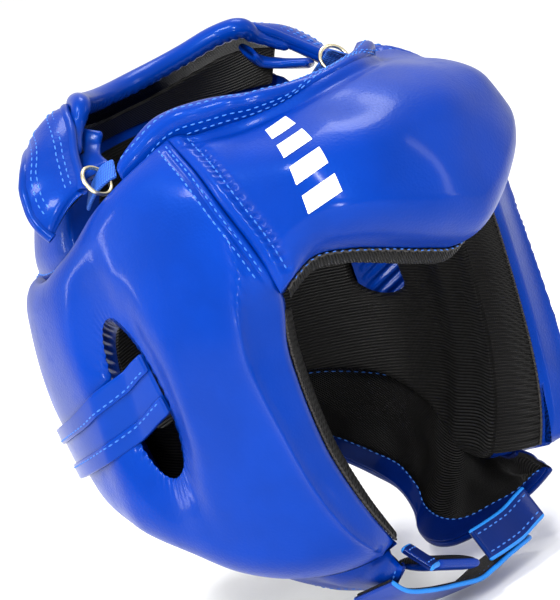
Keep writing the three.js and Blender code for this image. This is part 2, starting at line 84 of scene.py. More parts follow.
def shell(t, v, w):
    """Points of the head space."""
    t, v, w = np.broadcast_arrays(*[np.asarray(x, float) for x in (t, v, w)])
    s = np.sin(v * np.pi / 2)
    q = np.abs(s)
    inner_share = np.where(s > 0, (1 - q ** 2.4) ** (1 / 2.4), (1 - q ** 2.4) ** 0.5)
    outer_share = np.where(s > 0, inner_share, (1 - q ** 4) ** (1 / 3))
    sin, cos = np.sin(np.radians(t)), np.cos(np.radians(t))
    reach = np.where(cos > 0, HEAD_FRONT, HEAD_REAR)
    inner = np.stack([
        HEAD_HALF_WIDTH * inner_share * sin,
        -reach * inner_share * cos,
        s * np.where(s > 0, CROWN_RISE, CHIN_DROP),
    ], -1)
    outer = np.stack([
        (HEAD_HALF_WIDTH + PAD) * outer_share * sin,
        -(reach + PAD) * outer_share * cos,
        s * np.where(s > 0, OUTER_RISE, OUTER_DROP),
    ], -1)
    return inner + (outer - inner) * w[..., None]


def ease(x, low, high):
    """0 below low, 1 above high, and smooth between them."""
    share = np.clip((np.asarray(x, float) - low) / (high - low), 0, 1)
    return share * share * (3 - 2 * share)


def rounded(x):
    """The profile of a rounded edge: 0 at the edge, 1 from a radius inwards."""
    return np.sqrt(1 - (1 - np.clip(x, 0, 1)) ** 2)


def unit(vectors):
    return vectors / np.maximum(np.linalg.norm(vectors, axis=-1, keepdims=True), 1e-12)


class Run:
    """A smooth line through points; calling it gives the point a share of the way along."""

    def __init__(self, points):
        p = np.array(points, float)
        guides = np.vstack([p[:1], p, p[-1:]])
        u = np.linspace(0, 1, 40, endpoint=False)[:, None]
        parts = []
        for a, b, c, d in zip(guides, guides[1:], guides[2:], guides[3:]):
            leave, arrive = (c - a) / 2, (d - b) / 2
            parts.append((2 * b - 2 * c + leave + arrive) * u ** 3
                         + (3 * c - 3 * b - 2 * leave - arrive) * u ** 2 + leave * u + b)
        self.line = np.vstack(parts + [p[-1:]])
        steps = np.linalg.norm(np.diff(self.line, axis=0), axis=1)
        self.share = np.concatenate([[0], np.cumsum(steps)]) / steps.sum()

    def __call__(self, u):
        return np.stack([np.interp(u, self.share, c) for c in self.line.T], -1)


def outline(points):
    """A line on the head through [angle, height in mm] points."""
    return Run([[t / QUARTER, float(level(z * MM))] for t, z in points])


def mirrored(points):
    return [[-p[0], *p[1:]] for p in points]


def patch(front, rear, bottom, top):
    """The place inside four outlines; bottom and top run front to rear, front and rear run up."""
    corners = [bottom(0), bottom(1), top(0), top(1)]

    def place(a, b):
        a, b = np.broadcast_arrays(np.asarray(a, float), np.asarray(b, float))
        x, y = a[..., None], b[..., None]
        p = bottom(a) * (1 - y) + top(a) * y + front(b) * (1 - x) + rear(b) * x
        p = p - corners[0] * (1 - x) * (1 - y) - corners[1] * x * (1 - y)
        p = p - corners[2] * (1 - x) * y - corners[3] * x * y
        return p[..., 0] * QUARTER, p[..., 1]

    return place


def nearest(points, line):
    """Distance from each point to a line of close points."""
    flat = points.reshape(-1, 3)
    found = np.empty(len(flat), int)
    size = (line ** 2).sum(1)
    for start in range(0, len(flat), 6000):
        some = flat[start:start + 6000]
        found[start:start + 6000] = (size - 2 * some @ line.T).argmin(1)
    least = np.full(len(flat), np.inf)
    for step in (-1, 1):
        near, other = line[found], line[np.clip(found + step, 0, len(line) - 1)]
        way = other - near
        share = ((flat - near) * way).sum(1) / np.maximum((way ** 2).sum(1), 1e-18)
        foot = near + np.clip(share, 0, 1)[:, None] * way
        least = np.minimum(least, np.linalg.norm(flat - foot, axis=1))
    return least.reshape(points.shape[:-1])


# ---- finishes --------------------------------------------------------------------------------
class Value:
    """A shader socket that Python's operators work on."""

    def __init__(self, finish, socket):
        self.finish, self.socket = finish, socket

    def maths(self, operation, *values):
        return self.finish.node("ShaderNodeMath", {"operation": operation},
                                dict(enumerate(values)))

    def __add__(self, other):
        return self.maths("ADD", self, other)

    __radd__ = __add__

    def __sub__(self, other):
        return self.maths("SUBTRACT", self, other)

    def __rsub__(self, other):
        return self.maths("SUBTRACT", other, self)

    def __mul__(self, other):
        return self.maths("MULTIPLY", self, other)

    __rmul__ = __mul__

    def wave(self):
        return self.maths("SINE", self)

    def within(self, low, high):
        """0 at low and 1 at high, clamped between them."""
        return self.finish.node("ShaderNodeMapRange", {"interpolation_type": "SMOOTHSTEP"},
                                {0: self, 1: low, 2: high}, "Result")


class Finish:
    """One material, built from named nodes."""

    def __init__(self, name, **shader):
        self.material = bpy.data.materials.new(name)
        self.material.use_nodes = True
        self.tree = self.material.node_tree
        self.shader = self.tree.nodes["Principled BSDF"]
        self.set(**shader)

    def set(self, **values):
        for key, value in values.items():
            socket = key.replace("_", " ").title().replace("Ior", "IOR")
            self.feed(self.shader.inputs[socket], value)
        return self

    def feed(self, socket, value):
        if isinstance(value, Value):
            self.tree.links.new(value.socket, socket)
        elif isinstance(value, tuple) and len(value) == 3 and socket.type == "RGBA":
            socket.default_value = (*value, 1)
        else:
            socket.default_value = value

    def node(self, kind, settings, values, output=0):
        """Adds a node: its settings first, then the values or links of its sockets."""
        made = self.tree.nodes.new(kind)
        for key, value in settings.items():
            setattr(made, key, value)
        for key, value in values.items():
            self.feed(made.inputs[key], value)
        return Value(self, made.outputs[output])

    def place(self, scale=(1, 1, 1), turn=(0, 0, 0)):
        """The place on the object in millimetres."""
        spot = self.node("ShaderNodeTexCoord", {}, {}, "Object")
        return self.node("ShaderNodeMapping", {}, {
            "Vector": spot, "Scale": tuple(1000 * s for s in scale), "Rotation": turn})

    def cloth(self):
        """The place along and across the cut piece, in millimetres."""
        spot = self.node("ShaderNodeUVMap", {"uv_map": "cut"}, {})
        parts = self.tree.nodes.new("ShaderNodeSeparateXYZ")
        self.feed(parts.inputs[0], spot)
        return [Value(self, parts.outputs[k]) for k in range(2)]

    def noise(self, size, detail=2.0, place=None):
        """Soft noise whose patches are about size millimetres across."""
        return self.node("ShaderNodeTexNoise", {}, {
            "Vector": place or self.place(), "Scale": 1 / size, "Detail": detail})

    def cells(self, size, place=None):
        return self.node("ShaderNodeTexVoronoi", {"feature": "SMOOTH_F1"}, {
            "Vector": place or self.place(), "Scale": 1 / size, "Smoothness": 0.35}, "Distance")

    def mix(self, share, first, second):
        """A colour between two colours."""
        made = self.tree.nodes.new("ShaderNodeMix")
        made.data_type = "RGBA"
        self.feed(made.inputs["Factor"], share)
        for socket, value in ((made.inputs[6], first), (made.inputs[7], second)):
            self.feed(socket, value)
        return Value(self, made.outputs[2])

    def relief(self, height, depth):
        """Normals of a surface that rises by depth millimetres where height is 1."""
        return self.node("ShaderNodeBump", {}, {
            "Height": height, "Distance": depth * MM, "Strength": 1.0}, "Normal")


def leather(name, colour, deep, grain=0.1, roughness=0.38):
    """Coated leather with a pebble grain and faint handling marks."""
    f = Finish(name, Coat_Weight=0.13, Coat_Roughness=0.13, Specular_IOR_Level=0.25,
               Specular_Tint=(0.03, 0.25, 1.0))
    pebbles = f.cells(1.15)
    fine = f.noise(0.45, 3)
    broad = f.noise(38, 3)
    marks = f.noise(7, 4).within(0.5, 0.75)
    f.set(Base_Color=f.mix(broad.within(0.3, 0.7), deep, colour),
          Roughness=roughness + marks * 0.07 + fine * 0.05,
          Normal=f.relief(pebbles * 0.75 + fine * 0.35, grain))
    return f.material


def ribbed_mesh(name):
    """Black lining knitted in fine ribs across the piece, with the ribs coloured lighter as painted
    sheen.
    """
    f = Finish(name, Specular_IOR_Level=0.15)
    along, across = f.cloth()
    rib = (across * (2 * math.pi / 1.3)).wave() * 0.5 + 0.5
    knit = (along * (2 * math.pi / 0.8)).wave() * 0.5 + 0.5
    sheen_patches = f.noise(22, 3).within(0.35, 0.7)
    # Painted sheen: the ribs are coloured lighter, more strongly in random patches.
    rib_sheen_colour = f.mix(rib * (0.6 + 0.4 * sheen_patches), (0.0003, 0.0003, 0.0004), (0.009, 0.0082, 0.0075))
    f.set(Base_Color=rib_sheen_colour, Roughness=0.52 - 0.2 * rib,
          Normal=f.relief(rib * 0.8 + knit * 0.2, 0.4))
    return f.material


def twisted_thread(name, colour):
    f = Finish(name, Specular_IOR_Level=0.4)
    twist = f.noise(0.35, 2)
    f.set(Base_Color=f.mix(twist, tuple(0.6 * c for c in colour), colour),
          Roughness=0.45 + twist * 0.2, Normal=f.relief(twist, 0.12))
    return f.material


def webbing(name):
    """Flat woven tape."""
    f = Finish(name, Specular_IOR_Level=0.4)
    along, across = f.cloth()
    weft = (along * (2 * math.pi / 1.1)).wave() * 0.5 + 0.5
    warp = (across * (2 * math.pi / 1.5)).wave() * 0.5 + 0.5
    weave = weft * 0.7 + warp * 0.3
    f.set(Base_Color=f.mix(weave, (0.002, 0.03, 0.22), (0.01, 0.11, 0.5)),
          Roughness=0.7 - 0.2 * weave, Normal=f.relief(weave, 0.25))
    return f.material


def brass(name):
    f = Finish(name, Metallic=1.0)
    wear = f.noise(2.5, 4)
    f.set(Base_Color=f.mix(wear, (0.5, 0.42, 0.24), (0.78, 0.72, 0.52)),
          Roughness=0.2 + wear * 0.2, Normal=f.relief(wear, 0.02))
    return f.material


def hook_pile(name):
    """Black hook-and-loop pile."""
    f = Finish(name, Specular_IOR_Level=0.25)
    tufts = f.cells(0.7)
    fluff = f.noise(0.5, 4)
    f.set(Base_Color=f.mix(fluff, (0.002, 0.002, 0.0025), (0.022, 0.02, 0.02)),
          Roughness=0.85 + fluff * 0.1, Normal=f.relief(tufts * 0.7 + fluff * 0.5, 0.5))
    return f.material


def cut_edge(name):
    """The pale raw edge of a cut strap."""
    f = Finish(name, Specular_IOR_Level=0.4)
    rough = f.noise(0.8, 4)
    f.set(Base_Color=f.mix(rough, (0.0, 0.1, 0.42), (0.0, 0.2, 0.6)),
          Roughness=0.5 + rough * 0.2, Normal=f.relief(rough, 0.15))
    return f.material


def white_ink(name):
    f = Finish(name, Specular_IOR_Level=0.4)
    pebbles = f.cells(0.95)
    f.set(Base_Color=f.mix(f.noise(5, 4), (0.78, 0.79, 0.82), (0.9, 0.9, 0.9)),
          Roughness=0.42 + pebbles * 0.1, Normal=f.relief(pebbles, 0.04))
    return f.material


def pale_paper(name):
    f = Finish(name, Specular_IOR_Level=0.1)
    tooth = f.noise(3, 3)
    f.set(Base_Color=f.mix(tooth, (0.86, 0.86, 0.86), (0.88, 0.88, 0.88)), Roughness=0.9)
    return f.material


BLUE = leather("blue_leather", (0.0, 0.0235, 0.225), (0.0, 0.019, 0.185))
SMOOTH_BLUE = leather("smooth_blue_leather", (0.0, 0.0235, 0.215), (0.0, 0.019, 0.175),
                      grain=0.03, roughness=0.32)
# A darker copy of the blue leather: painted shade for the band edges and inner folds, the neck flaps'
# edges and inward facings, and the chin tabs.
SHADED_BLUE = leather("blue_leather_painted_shade", (0.0, 0.008, 0.1), (0.0, 0.006, 0.07),
                    grain=0.03, roughness=0.4)
MESH = ribbed_mesh("ribbed_black_mesh")
THREAD_BLUE = twisted_thread("pale_blue_thread", (0.03, 0.16, 0.6))
THREAD_GREY = twisted_thread("grey_overlock_thread", (0.02, 0.017, 0.015))
TAPE = webbing("blue_webbing")
BRASS = brass("brass_wire")
PILE = hook_pile("black_hook_pile")
RAW_EDGE = cut_edge("pale_blue_cut_edge")
INK = white_ink("white_ink")


# ---- making pieces -----------------------------------------------------------------------------
def write_cut(mesh, cut):
    """Gives every corner its place on the cut cloth, in millimetres."""
    corners = np.empty(len(mesh.loops), int)
    mesh.loops.foreach_get("vertex_index", corners)
    places = cut.reshape(-1, 2)[corners].astype(np.float32)
    mesh.uv_layers["cut"].data.foreach_set("uv", places.ravel())


def piece(name, points, finish, body="shell", wrap=False, caps=False, facing=0, bands=None,
          slot=None, stands_for=(), fill=None):
    """A piece from a grid of points. wrap joins its last column to the first, and caps closes
    its ends. facing is 1 for a face that looks away from the head's middle, and -1 towards it.
    bands lists (first column, finish) for columns with a finish of their own."""
    rows, columns = points.shape[:2]
    index = np.arange(rows * columns).reshape(rows, columns)
    if wrap:
        index = np.hstack([index, index[:, :1]])
    quads = np.stack([index[:-1, :-1], index[1:, :-1], index[1:, 1:], index[:-1, 1:]], -1)
    rows_of_faces, spans = quads.shape[:2]
    faces = quads.reshape(-1, 4)
    flat = points.reshape(-1, 3)
    a, b, c, d = [flat[faces[:, k]] for k in range(4)]
    outwards = np.einsum("ij,ij->", a, np.cross(b, c) + np.cross(c, d))
    if facing:
        outwards = facing * np.einsum("ij,ij->", np.cross(c - a, d - b), a - HEAD_MIDDLE)
    faces = faces.tolist()
    if caps:
        faces += [index[0, :columns].tolist()[::-1], index[-1, :columns].tolist()]
    if outwards < 0:
        faces = [f[::-1] for f in faces]
    mesh = bpy.data.meshes.new(name)
    mesh.from_pydata(flat.tolist(), [], faces)
    mesh.polygons.foreach_set("use_smooth", [True] * len(faces))
    down, over = [np.linalg.norm(np.diff(points, axis=axis), axis=-1) for axis in (0, 1)]
    along = np.vstack([np.zeros((1, columns)), np.cumsum(down, 0)]) / MM
    across = np.hstack([np.zeros((rows, 1)), np.cumsum(over, 1)]) / MM
    mesh.uv_layers.new(name="cut")
    write_cut(mesh, np.stack([along, across], -1))
    mesh.materials.append(finish)
    for number, (first, other) in enumerate(bands or (), 1):
        mesh.materials.append(other)
        column = np.arange(rows_of_faces * spans) % spans
        for k in np.nonzero(column >= first)[0]:
            mesh.polygons[int(k)].material_index = number
    made = bpy.data.objects.new(name, mesh)
    bpy.context.scene.collection.objects.link(made)
    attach(made, body)
    if stands_for:
        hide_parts(*stands_for)
    return made


def facings(points):
    """Unit normals of a grid of points."""
    return unit(np.cross(np.gradient(points, axis=0), np.gradient(points, axis=1)))


ARC = np.radians([60, 30, 0, -30, -60])
THINNEST_END = 0.04


def layered(points, thickness):
    """The rings of a flat piece of some thickness about a grid, with rounded edges.
    Its columns are the top, one edge, the underside and the other edge."""
    normal = facings(points)
    half = np.broadcast_to(np.asarray(thickness, float) / 2, points.shape[:2])
    run = np.linalg.norm(np.diff(points, axis=0), axis=-1).mean(1)
    away = np.concatenate([[0], np.cumsum(run)])
    away = np.minimum(away, away[-1] - away)
    half = half * np.maximum(rounded(away / half.mean()), THINNEST_END)[:, None]
    sides = unit(np.gradient(points, axis=1))
    lift = normal * half[..., None]
    first = points[:, :1] - sides[:, :1] * half[:, :1, None] * np.cos(ARC)[::-1][:, None] \
        - lift[:, :1] * np.sin(ARC)[:, None]
    last = points[:, -1:] + sides[:, -1:] * half[:, -1:, None] * np.cos(ARC)[:, None] \
        + lift[:, -1:] * np.sin(ARC)[:, None]
    return np.concatenate([points + lift, last, (points - lift)[:, ::-1], first], 1)


def flat_piece(name, points, thickness, finish, under=None, edge=None, **rest):
    """A flat strap or flap with a finish for its top, its edges and its underside."""
    columns = points.shape[1]
    bands = []
    if edge or under:
        bands = [(columns - 1, edge or finish), (columns + len(ARC), under or finish),
                 (2 * columns + len(ARC) - 1, edge or finish)]
    return piece(name, layered(points, thickness), finish, wrap=True, caps=True, bands=bands,
                 **rest)


def tube(path, radius, sides):
    """Rings of a round section along a path. radius may vary along and round it."""
    ahead = unit(np.gradient(path, axis=0))
    side = unit(np.cross(ahead, [0, 0, 1]))[:, None]
    top = np.cross(side, ahead[:, None])
    turn = np.linspace(0, 2 * np.pi, sides, endpoint=False)[:, None]
    size = radius[:, None] if np.ndim(radius) == 1 else radius
    size = np.broadcast_to(size, (len(path), sides))[..., None]
    return path[:, None] + size * (np.cos(turn) * side + np.sin(turn) * top)


STITCH_RINGS = [(-1, 0.1), (-0.8, 0.7), (0, 1), (0.8, 0.7), (1, 0.1)]
STITCH_SIDES = 6
STITCH_SAG = 0.7


def stitches(name, path, normal, length=STITCH_LENGTH, body="shell", thread=THREAD):
    """A row of short stitches that lie along a path of points."""
    steps = np.linalg.norm(np.diff(path, axis=0), axis=1)
    along = np.concatenate([[0], np.cumsum(steps)])
    count = max(int(along[-1] / STITCH_PITCH), 1)
    spots = (np.arange(count) + 0.5) * along[-1] / count
    reach = 0.3 * STITCH_PITCH

    def pick(values, at):
        return np.stack([np.interp(at, along, c) for c in values.T], -1)

    middle = pick(path, spots)[:, None]
    ahead = unit(pick(path, spots + reach) - pick(path, spots - reach))
    up = unit(pick(normal, spots))
    side = np.cross(up, ahead)[:, None]
    ahead, up = ahead[:, None], up[:, None]
    turn = np.linspace(0, 2 * np.pi, STITCH_SIDES, endpoint=False)[:, None]
    verts, faces = [], []
    for share, size in STITCH_RINGS:
        sag = -STITCH_SAG * thread * share * share
        verts.append(middle + ahead * share * length / 2 + up * sag
                     + size * thread * (np.cos(turn) * side + np.sin(turn) * up))
    verts = np.stack(verts, 1).reshape(-1, 3)
    per = len(STITCH_RINGS) * STITCH_SIDES
    round_once = range(STITCH_SIDES)
    for first in range(0, count * per, per):
        for ring in range(first, first + per - STITCH_SIDES, STITCH_SIDES):
            for k in round_once:
                a, b = ring + k, ring + (k + 1) % STITCH_SIDES
                faces.append([a, b, b + STITCH_SIDES, a + STITCH_SIDES])
        faces.append([first + k for k in reversed(round_once)])
        faces.append([first + per - STITCH_SIDES + k for k in round_once])
    mesh = bpy.data.meshes.new(name)
    mesh.from_pydata(verts.tolist(), [], faces)
    mesh.polygons.foreach_set("use_smooth", [True] * len(faces))
    mesh.materials.append(THREAD_BLUE)
    made = bpy.data.objects.new(name, mesh)
    bpy.context.scene.collection.objects.link(made)
    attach(made, body)


# ---- padded panels -----------------------------------------------------------------------------
EDGE_DEPTH = 0.8
GRID_PULL = 0.6
LINE_REACH = 150 * MM


class Panel:
    """A padded leather panel: where it lies, how it swells from its edges and how deep it is."""

    def __init__(self, front, rear, bottom, top, depth, edge_depth, radii, side=1):
        self.place_at = patch(front, rear, bottom, top)
        self.depth, self.edge_depth, self.side = depth, edge_depth, side
        u = np.linspace(0, 1, 260)
        self.edges = {}
        for name, (a, b) in {"front": (0 * u, u), "rear": (1 + 0 * u, u),
                             "bottom": (u, 0 * u), "top": (u, 1 + 0 * u)}.items():
            t, v = self.place_at(a, b)
            self.edges[name] = (shell(t, v, EDGE_DEPTH), radii[name])

    def swell(self, t, v):
        """0 at the edges and 1 away from them, and the distance to each edge."""
        spots = shell(t, v, EDGE_DEPTH)
        total = np.ones(spots.shape[:-1])
        away = {}
        for name, (line, radius) in self.edges.items():
            away[name] = nearest(spots, line)
            rise = radius(away[name], t, v) if callable(radius) else rounded(away[name] / radius)
            total = total * rise
        return total, away

    def outer(self, t, v, lift=0.0):
        """Points of the outer leather. t is the wearer's left before mirroring."""
        total, away = self.swell(t, v)
        shallow = self.edge_depth(t, v)
        w = shallow + (self.depth(t, v, away) - shallow) * total
        return shell(self.side * t, v, w + lift / PAD)

    def grid(self, na, nb):
        """Angles and levels of a grid that is closer near the edges."""
        shares = []
        for count in (na, nb):
            x = np.linspace(0, 1, count)
            shares.append(x - GRID_PULL * np.sin(2 * np.pi * x) / (2 * np.pi))
        return self.place_at(*np.meshgrid(*shares, indexing="ij"))

    def line(self, edge, inset, start=0.0, end=1.0, count=160):
        """Angles and levels of a line parallel to an edge, inset from it."""
        x = np.linspace(start, end, count)

        def place(y):
            return self.place_at(*{"front": (y, x), "rear": (1 - y, x),
                                   "bottom": (x, y), "top": (x, 1 - y)}[edge])

        y = np.zeros(count)
        for _ in range(3):
            gap = nearest(shell(*place(y), EDGE_DEPTH), self.edges[edge][0])
            y = y + (inset - gap) / LINE_REACH
        return place(y)

    def seam(self, name, edge, inset, start=0.02, end=0.98, lift=0.1 * MM, **how):
        """A row of stitches on the outer leather, parallel to an edge."""
        t, v = self.line(edge, inset, start, end)
        path = self.outer(t, v, lift)
        up = unit(self.outer(t, v, 2 * MM) - self.outer(t, v, -2 * MM))
        slope = self.outer(t, v + 0.004, lift) - self.outer(t, v - 0.004, lift)
        spin = self.outer(t + 0.4, v, lift) - self.outer(t - 0.4, v, lift)
        normal = unit(np.cross(spin, slope))
        normal = normal * np.sign((normal * up).sum(-1, keepdims=True))
        return stitches(name, path, normal, **how)


WALL_STEPS = (0.86, 0.6, 0.3, 0.05)


def depth_of(points, t, v):
    """How far points stand off the lining, as shares of a pad's thickness."""
    return np.linalg.norm(points - shell(t, v, 0.0), axis=-1) / PAD


def walled(face, t, v):
    """The outer face with walls from its four edges down to the lining."""
    extra = (len(WALL_STEPS), len(WALL_STEPS))
    for axis in (0, 1):
        depth = depth_of(face, t, v)
        walls = []
        for end in (0, -1):
            at_t, at_v, at_depth = [x.take(end, axis) for x in (t, v, depth)]
            walls.append([shell(at_t, at_v, at_depth * share) for share in WALL_STEPS])
        face = np.concatenate([np.stack(walls[0][::-1], axis), face, np.stack(walls[1], axis)],
                              axis)
        margins = (extra, (0, 0)) if axis == 0 else ((0, 0), extra)
        t, v = np.pad(t, margins, "edge"), np.pad(v, margins, "edge")
    return face


TEMPLE = [[47, 41], [49.5, 58.5], [53.4, 75.4], [58.8, 94.2], [66.6, 110]]
BROW_HALF = [[47, 41], [38, 52], [29, 51], [20, 46], [10, 39.5]]
BROW = outline([*mirrored(BROW_HALF), [0, 34.5], *BROW_HALF[::-1]])
FOREHEAD_TOP_HALF = [[66.6, 110], [48, 112.8], [29, 113.5]]
CHEEK = [[37, -74], [41, -60.5], [44, -47], [46.8, -30], [48.2, -14], [49, 4], [49, 20]]
SIDE_BOTTOM = [[37, -74], [45, -79], [55, -80.5], [65, -78.5], [75, -72.5], [85, -62],
               [95, -54], [107, -47], [124, -42], [140, -40]]
SIDE_TOP = [[66.6, 110], [78.5, 98], [83, 93], [88, 86.7], [96, 74], [103.3, 66],
            [112, 58.5], [125, 53.5], [140, 51]]


# ---- forehead ------------------------------------------------------------------------------------
def thinning(v):
    return ease(v, level(78 * MM), level(113.5 * MM))


def top_depth(t):
    return 0.8 - 0.36 * ease(np.abs(t), 0, 45)


TEMPLE_EDGE = outline(TEMPLE)(np.linspace(0, 1, 120))


def temple_depth(v):
    """The depth at which the forehead and the sides meet."""
    return 1.02 - 0.3 * thinning(v)


def past_temple(t, v):
    """Degrees behind the temple seam."""
    return np.abs(t) - np.interp(v, TEMPLE_EDGE[:, 1], TEMPLE_EDGE[:, 0]) * QUARTER


def forehead_depth(t, v, away):
    roll = 1 + (41.5 / 27.5 - 1) * (1 - ease(np.abs(t), 22, 62))
    full = roll + (top_depth(t) + 0.04 - roll) * thinning(v)
    meets = np.exp(-(np.minimum(away["front"], away["rear"]) / (15 * MM)) ** 2)
    full = full + (temple_depth(v) - full) * meets
    wave = 0.02 * np.sin(t * 0.13 + 1) * np.sin(v * 17) + 0.012 * np.sin(t * 0.31) * np.sin(v * 31 + 2)
    pucker = 0.0
    for name in ("front", "rear"):
        groove = np.exp(-((away[name] - 7 * MM) / (2.2 * MM)) ** 2)
        gather = 0.5 + 0.5 * np.sin(v * 330 + 2 * np.sin(v * 41))
        pucker = pucker + groove * (0.05 + 0.035 * gather)
    sag = 0.07 * np.exp(-((away["top"] - 6 * MM) / (3 * MM)) ** 2)
    return full + wave - pucker - sag


def forehead_edge_depth(t, v):
    plain = 0.66 + (top_depth(t) - 0.66) * thinning(v)
    return plain + (temple_depth(v) - 0.12 - plain) * ease(past_temple(t, v), -9, -3)


forehead = Panel(
    outline(mirrored(TEMPLE)), outline(TEMPLE), BROW,
    outline([*mirrored(FOREHEAD_TOP_HALF), [0, 113.5], *FOREHEAD_TOP_HALF[::-1]]),
    forehead_depth, forehead_edge_depth,
    {"front": 5 * MM, "rear": 5 * MM, "bottom": 14 * MM, "top": 11 * MM})
t, v = forehead.grid(280, 190)
piece("forehead_leather", walled(forehead.outer(t, v), t, v), BLUE, facing=1,
      slot="blue_leather", stands_for=("forehead_cover", "forehead_foam"), fill=0.9)
for hand, edge in (("right", "front"), ("left", "rear")):
    forehead.seam(f"{hand}_temple_gather_stitches", edge, 6.6 * MM, 0.04, 0.97)


# ---- sides -----------------------------------------------------------------------------------------
EAR_HALF_HEIGHT, EAR_HALF_ANGLE, EAR_HEIGHT, EAR_ANGLE = 35, 6.9, 8, 84.4
EAR_LEAN_ANGLE, EAR_LEAN_HEIGHT = 12, -13


def ear_line(phi, w, grow=0.0):
    """Angle and level of the ear opening's wall."""
    rise = (EAR_HALF_HEIGHT + 6 * (1 - w) + grow) * np.sin(phi)
    angle = (EAR_HALF_ANGLE + 2 * (1 - w) + grow * 0.6) * np.cos(phi)
    z = (EAR_HEIGHT + EAR_LEAN_HEIGHT * (1 - w) + rise) * MM
    return EAR_ANGLE + EAR_LEAN_ANGLE * (1 - w) + 2.3 * np.sin(phi) + angle, level(z)


def rear_depth(t, v):
    rear = ease(t, 92, 138)
    below = ease(-v, 0, -level(-45 * MM))
    return 1 - (0.16 + 0.22 * below) * rear


CREASE = outline([[41.5, -73], [47, -59], [50.6, -43], [52.6, -29], [54.6, -10], [56.3, 8], [57, 22],
                  [56, 38], [54, 52]])(np.linspace(0, 1, 260))
CHEEK_EDGE = outline([*CHEEK, [47, 41], [48.5, 52]])(np.linspace(0, 1, 260))


def bevel(t, v):
    """0 at the cheek's front edge and 1 from the crease behind it."""
    edge_t = np.interp(v, CHEEK_EDGE[:, 1], CHEEK_EDGE[:, 0]) * QUARTER
    crease_t = np.interp(v, CREASE[:, 1], CREASE[:, 0]) * QUARTER
    return np.clip((t - edge_t) / (crease_t - edge_t), 0, 1.6)


def cheek_swell(away, t, v):
    """The face between the cheek's front edge and the crease is nearly flat."""
    share = bevel(t, v)
    lip = rounded(share / 0.16)
    flat = 0.2 * lip + 0.8 * np.minimum(share, 1)
    on_temple = ease(v, level(36 * MM), level(54 * MM))
    return flat * (1 - on_temple) + rounded(away / (5 * MM)) * on_temple


def side_depth(t, v, away):
    up = (v - level(EAR_HEIGHT * MM)) / (level((EAR_HEIGHT + EAR_HALF_HEIGHT) * MM)
                                         - level(EAR_HEIGHT * MM))
    along = (t - EAR_ANGLE - 2.3 * up) / EAR_HALF_ANGLE
    off = np.maximum(np.hypot(up, along) - 1, 0)
    full = rear_depth(t, v) - 0.2 * np.exp(-((off / 0.55) ** 2))
    meets = np.exp(-(away["front"] / (20 * MM)) ** 2) * ease(v, level(36 * MM), level(60 * MM))
    full = full + (temple_depth(v) - full) * meets
    share = bevel(t, v)
    low = ease(-v, -0.5, -0.2)
    ridge = 0.1 * np.exp(-np.abs(share - 1) / 0.16) * low
    around = np.arctan2(up, along)
    pulled = np.exp(-((off - 0.5) / 0.5) ** 2)
    dimples = 0.008 * pulled * np.sin(7 * around + 1.5 * np.sin(3 * around))
    behind = 0.03 * np.exp(-((t - 99) / 6) ** 2 - ((v - 0.02) / 0.22) ** 2)
    ahead = 0.05 * np.exp(-((t - 73.5) / 2.6) ** 2 - ((v + 0.02) / 0.12) ** 2)
    wave = 0.005 * np.sin(t * 0.17) * np.sin(v * 13 + 1)
    on_temple = ease(v, level(40 * MM), level(52 * MM))
    seam = 0.055 * np.exp(-((away["front"] - 3.4 * MM) / (1.4 * MM)) ** 2) * on_temple
    pressed = 0.07 * ease(t, 92, 101) * np.exp(-(((v + 0.1 + 0.003 * (t - 95)) / 0.2) ** 4))
    lip = np.exp(-off / 0.1) * (0.5 + 0.5 * np.cos(around + 0.9))
    full = full - lip * (0.14 + 0.02 * np.sin(46 * around))
    return full + ridge + dimples + behind + ahead + wave - seam - pressed


def side_edge_depth(t, v):
    plain = 0.6 + 0.06 * ease(v, level(40 * MM), level(60 * MM))
    near = ease(-past_temple(t, v), -10, -2) * ease(v, level(36 * MM), level(52 * MM))
    return plain + (temple_depth(v) - 0.12 - plain) * near


def annulus(panel, hole, rings, count):
    """Places on a panel from its hole, ring by ring, out to its four edges."""
    turn = np.linspace(0, 2 * np.pi, count, endpoint=False)
    # The hole's rim as shares of the panel: the nearest spots of a close grid, then refined.
    a, b = np.meshgrid(np.linspace(0, 1, 241), np.linspace(0, 1, 241), indexing="ij")
    tt, vv = panel.place_at(a, b)
    rim_t, rim_v = hole(turn)
    grid = np.stack([tt.ravel() / QUARTER, vv.ravel()], -1)
    found = [np.argmin(((grid - [x / QUARTER, y]) ** 2).sum(1)) for x, y in zip(rim_t, rim_v)]
    shares = np.stack([a.ravel()[found], b.ravel()[found]], -1)
    step = 1e-3
    for _ in range(4):
        t0, v0 = panel.place_at(shares[:, 0], shares[:, 1])
        ta, va = panel.place_at(shares[:, 0] + step, shares[:, 1])
        tb, vb = panel.place_at(shares[:, 0], shares[:, 1] + step)
        jac = np.stack([np.stack([(ta - t0) / step, (tb - t0) / step], -1),
                        np.stack([(va - v0) / step, (vb - v0) / step], -1)], -2)
        off = np.stack([rim_t - t0, rim_v - v0], -1)
        shares = shares + np.linalg.solve(jac, off[..., None])[..., 0]
    middle = shares.mean(0)
    ray = shares - middle
    bearing = np.arctan2(ray[:, 1], ray[:, 0])
    corners = [np.arctan2(y - middle[1], x - middle[0]) for x in (0, 1) for y in (0, 1)]
    for corner in corners:
        gap = np.angle(np.exp(1j * (bearing - corner)))
        bearing[np.argmin(np.abs(gap))] = corner
    way = np.stack([np.cos(bearing), np.sin(bearing)], -1)
    reach = np.full(count, np.inf)
    for axis in range(2):
        for wall in (0, 1):
            with np.errstate(divide="ignore"):
                far = (wall - middle[axis]) / way[:, axis]
            reach = np.where(far > 1e-9, np.minimum(reach, far), reach)
    border = middle + way * reach[:, None]
    grow = np.linspace(0, 1, rings)
    grow = (0.4 * grow + 0.6 * (1 - np.cos(np.pi * grow)) / 2)[:, None, None]
    full = np.clip(shares[None] * (1 - grow) + border[None] * grow, 0, 1)
    return panel.place_at(full[..., 0], full[..., 1])


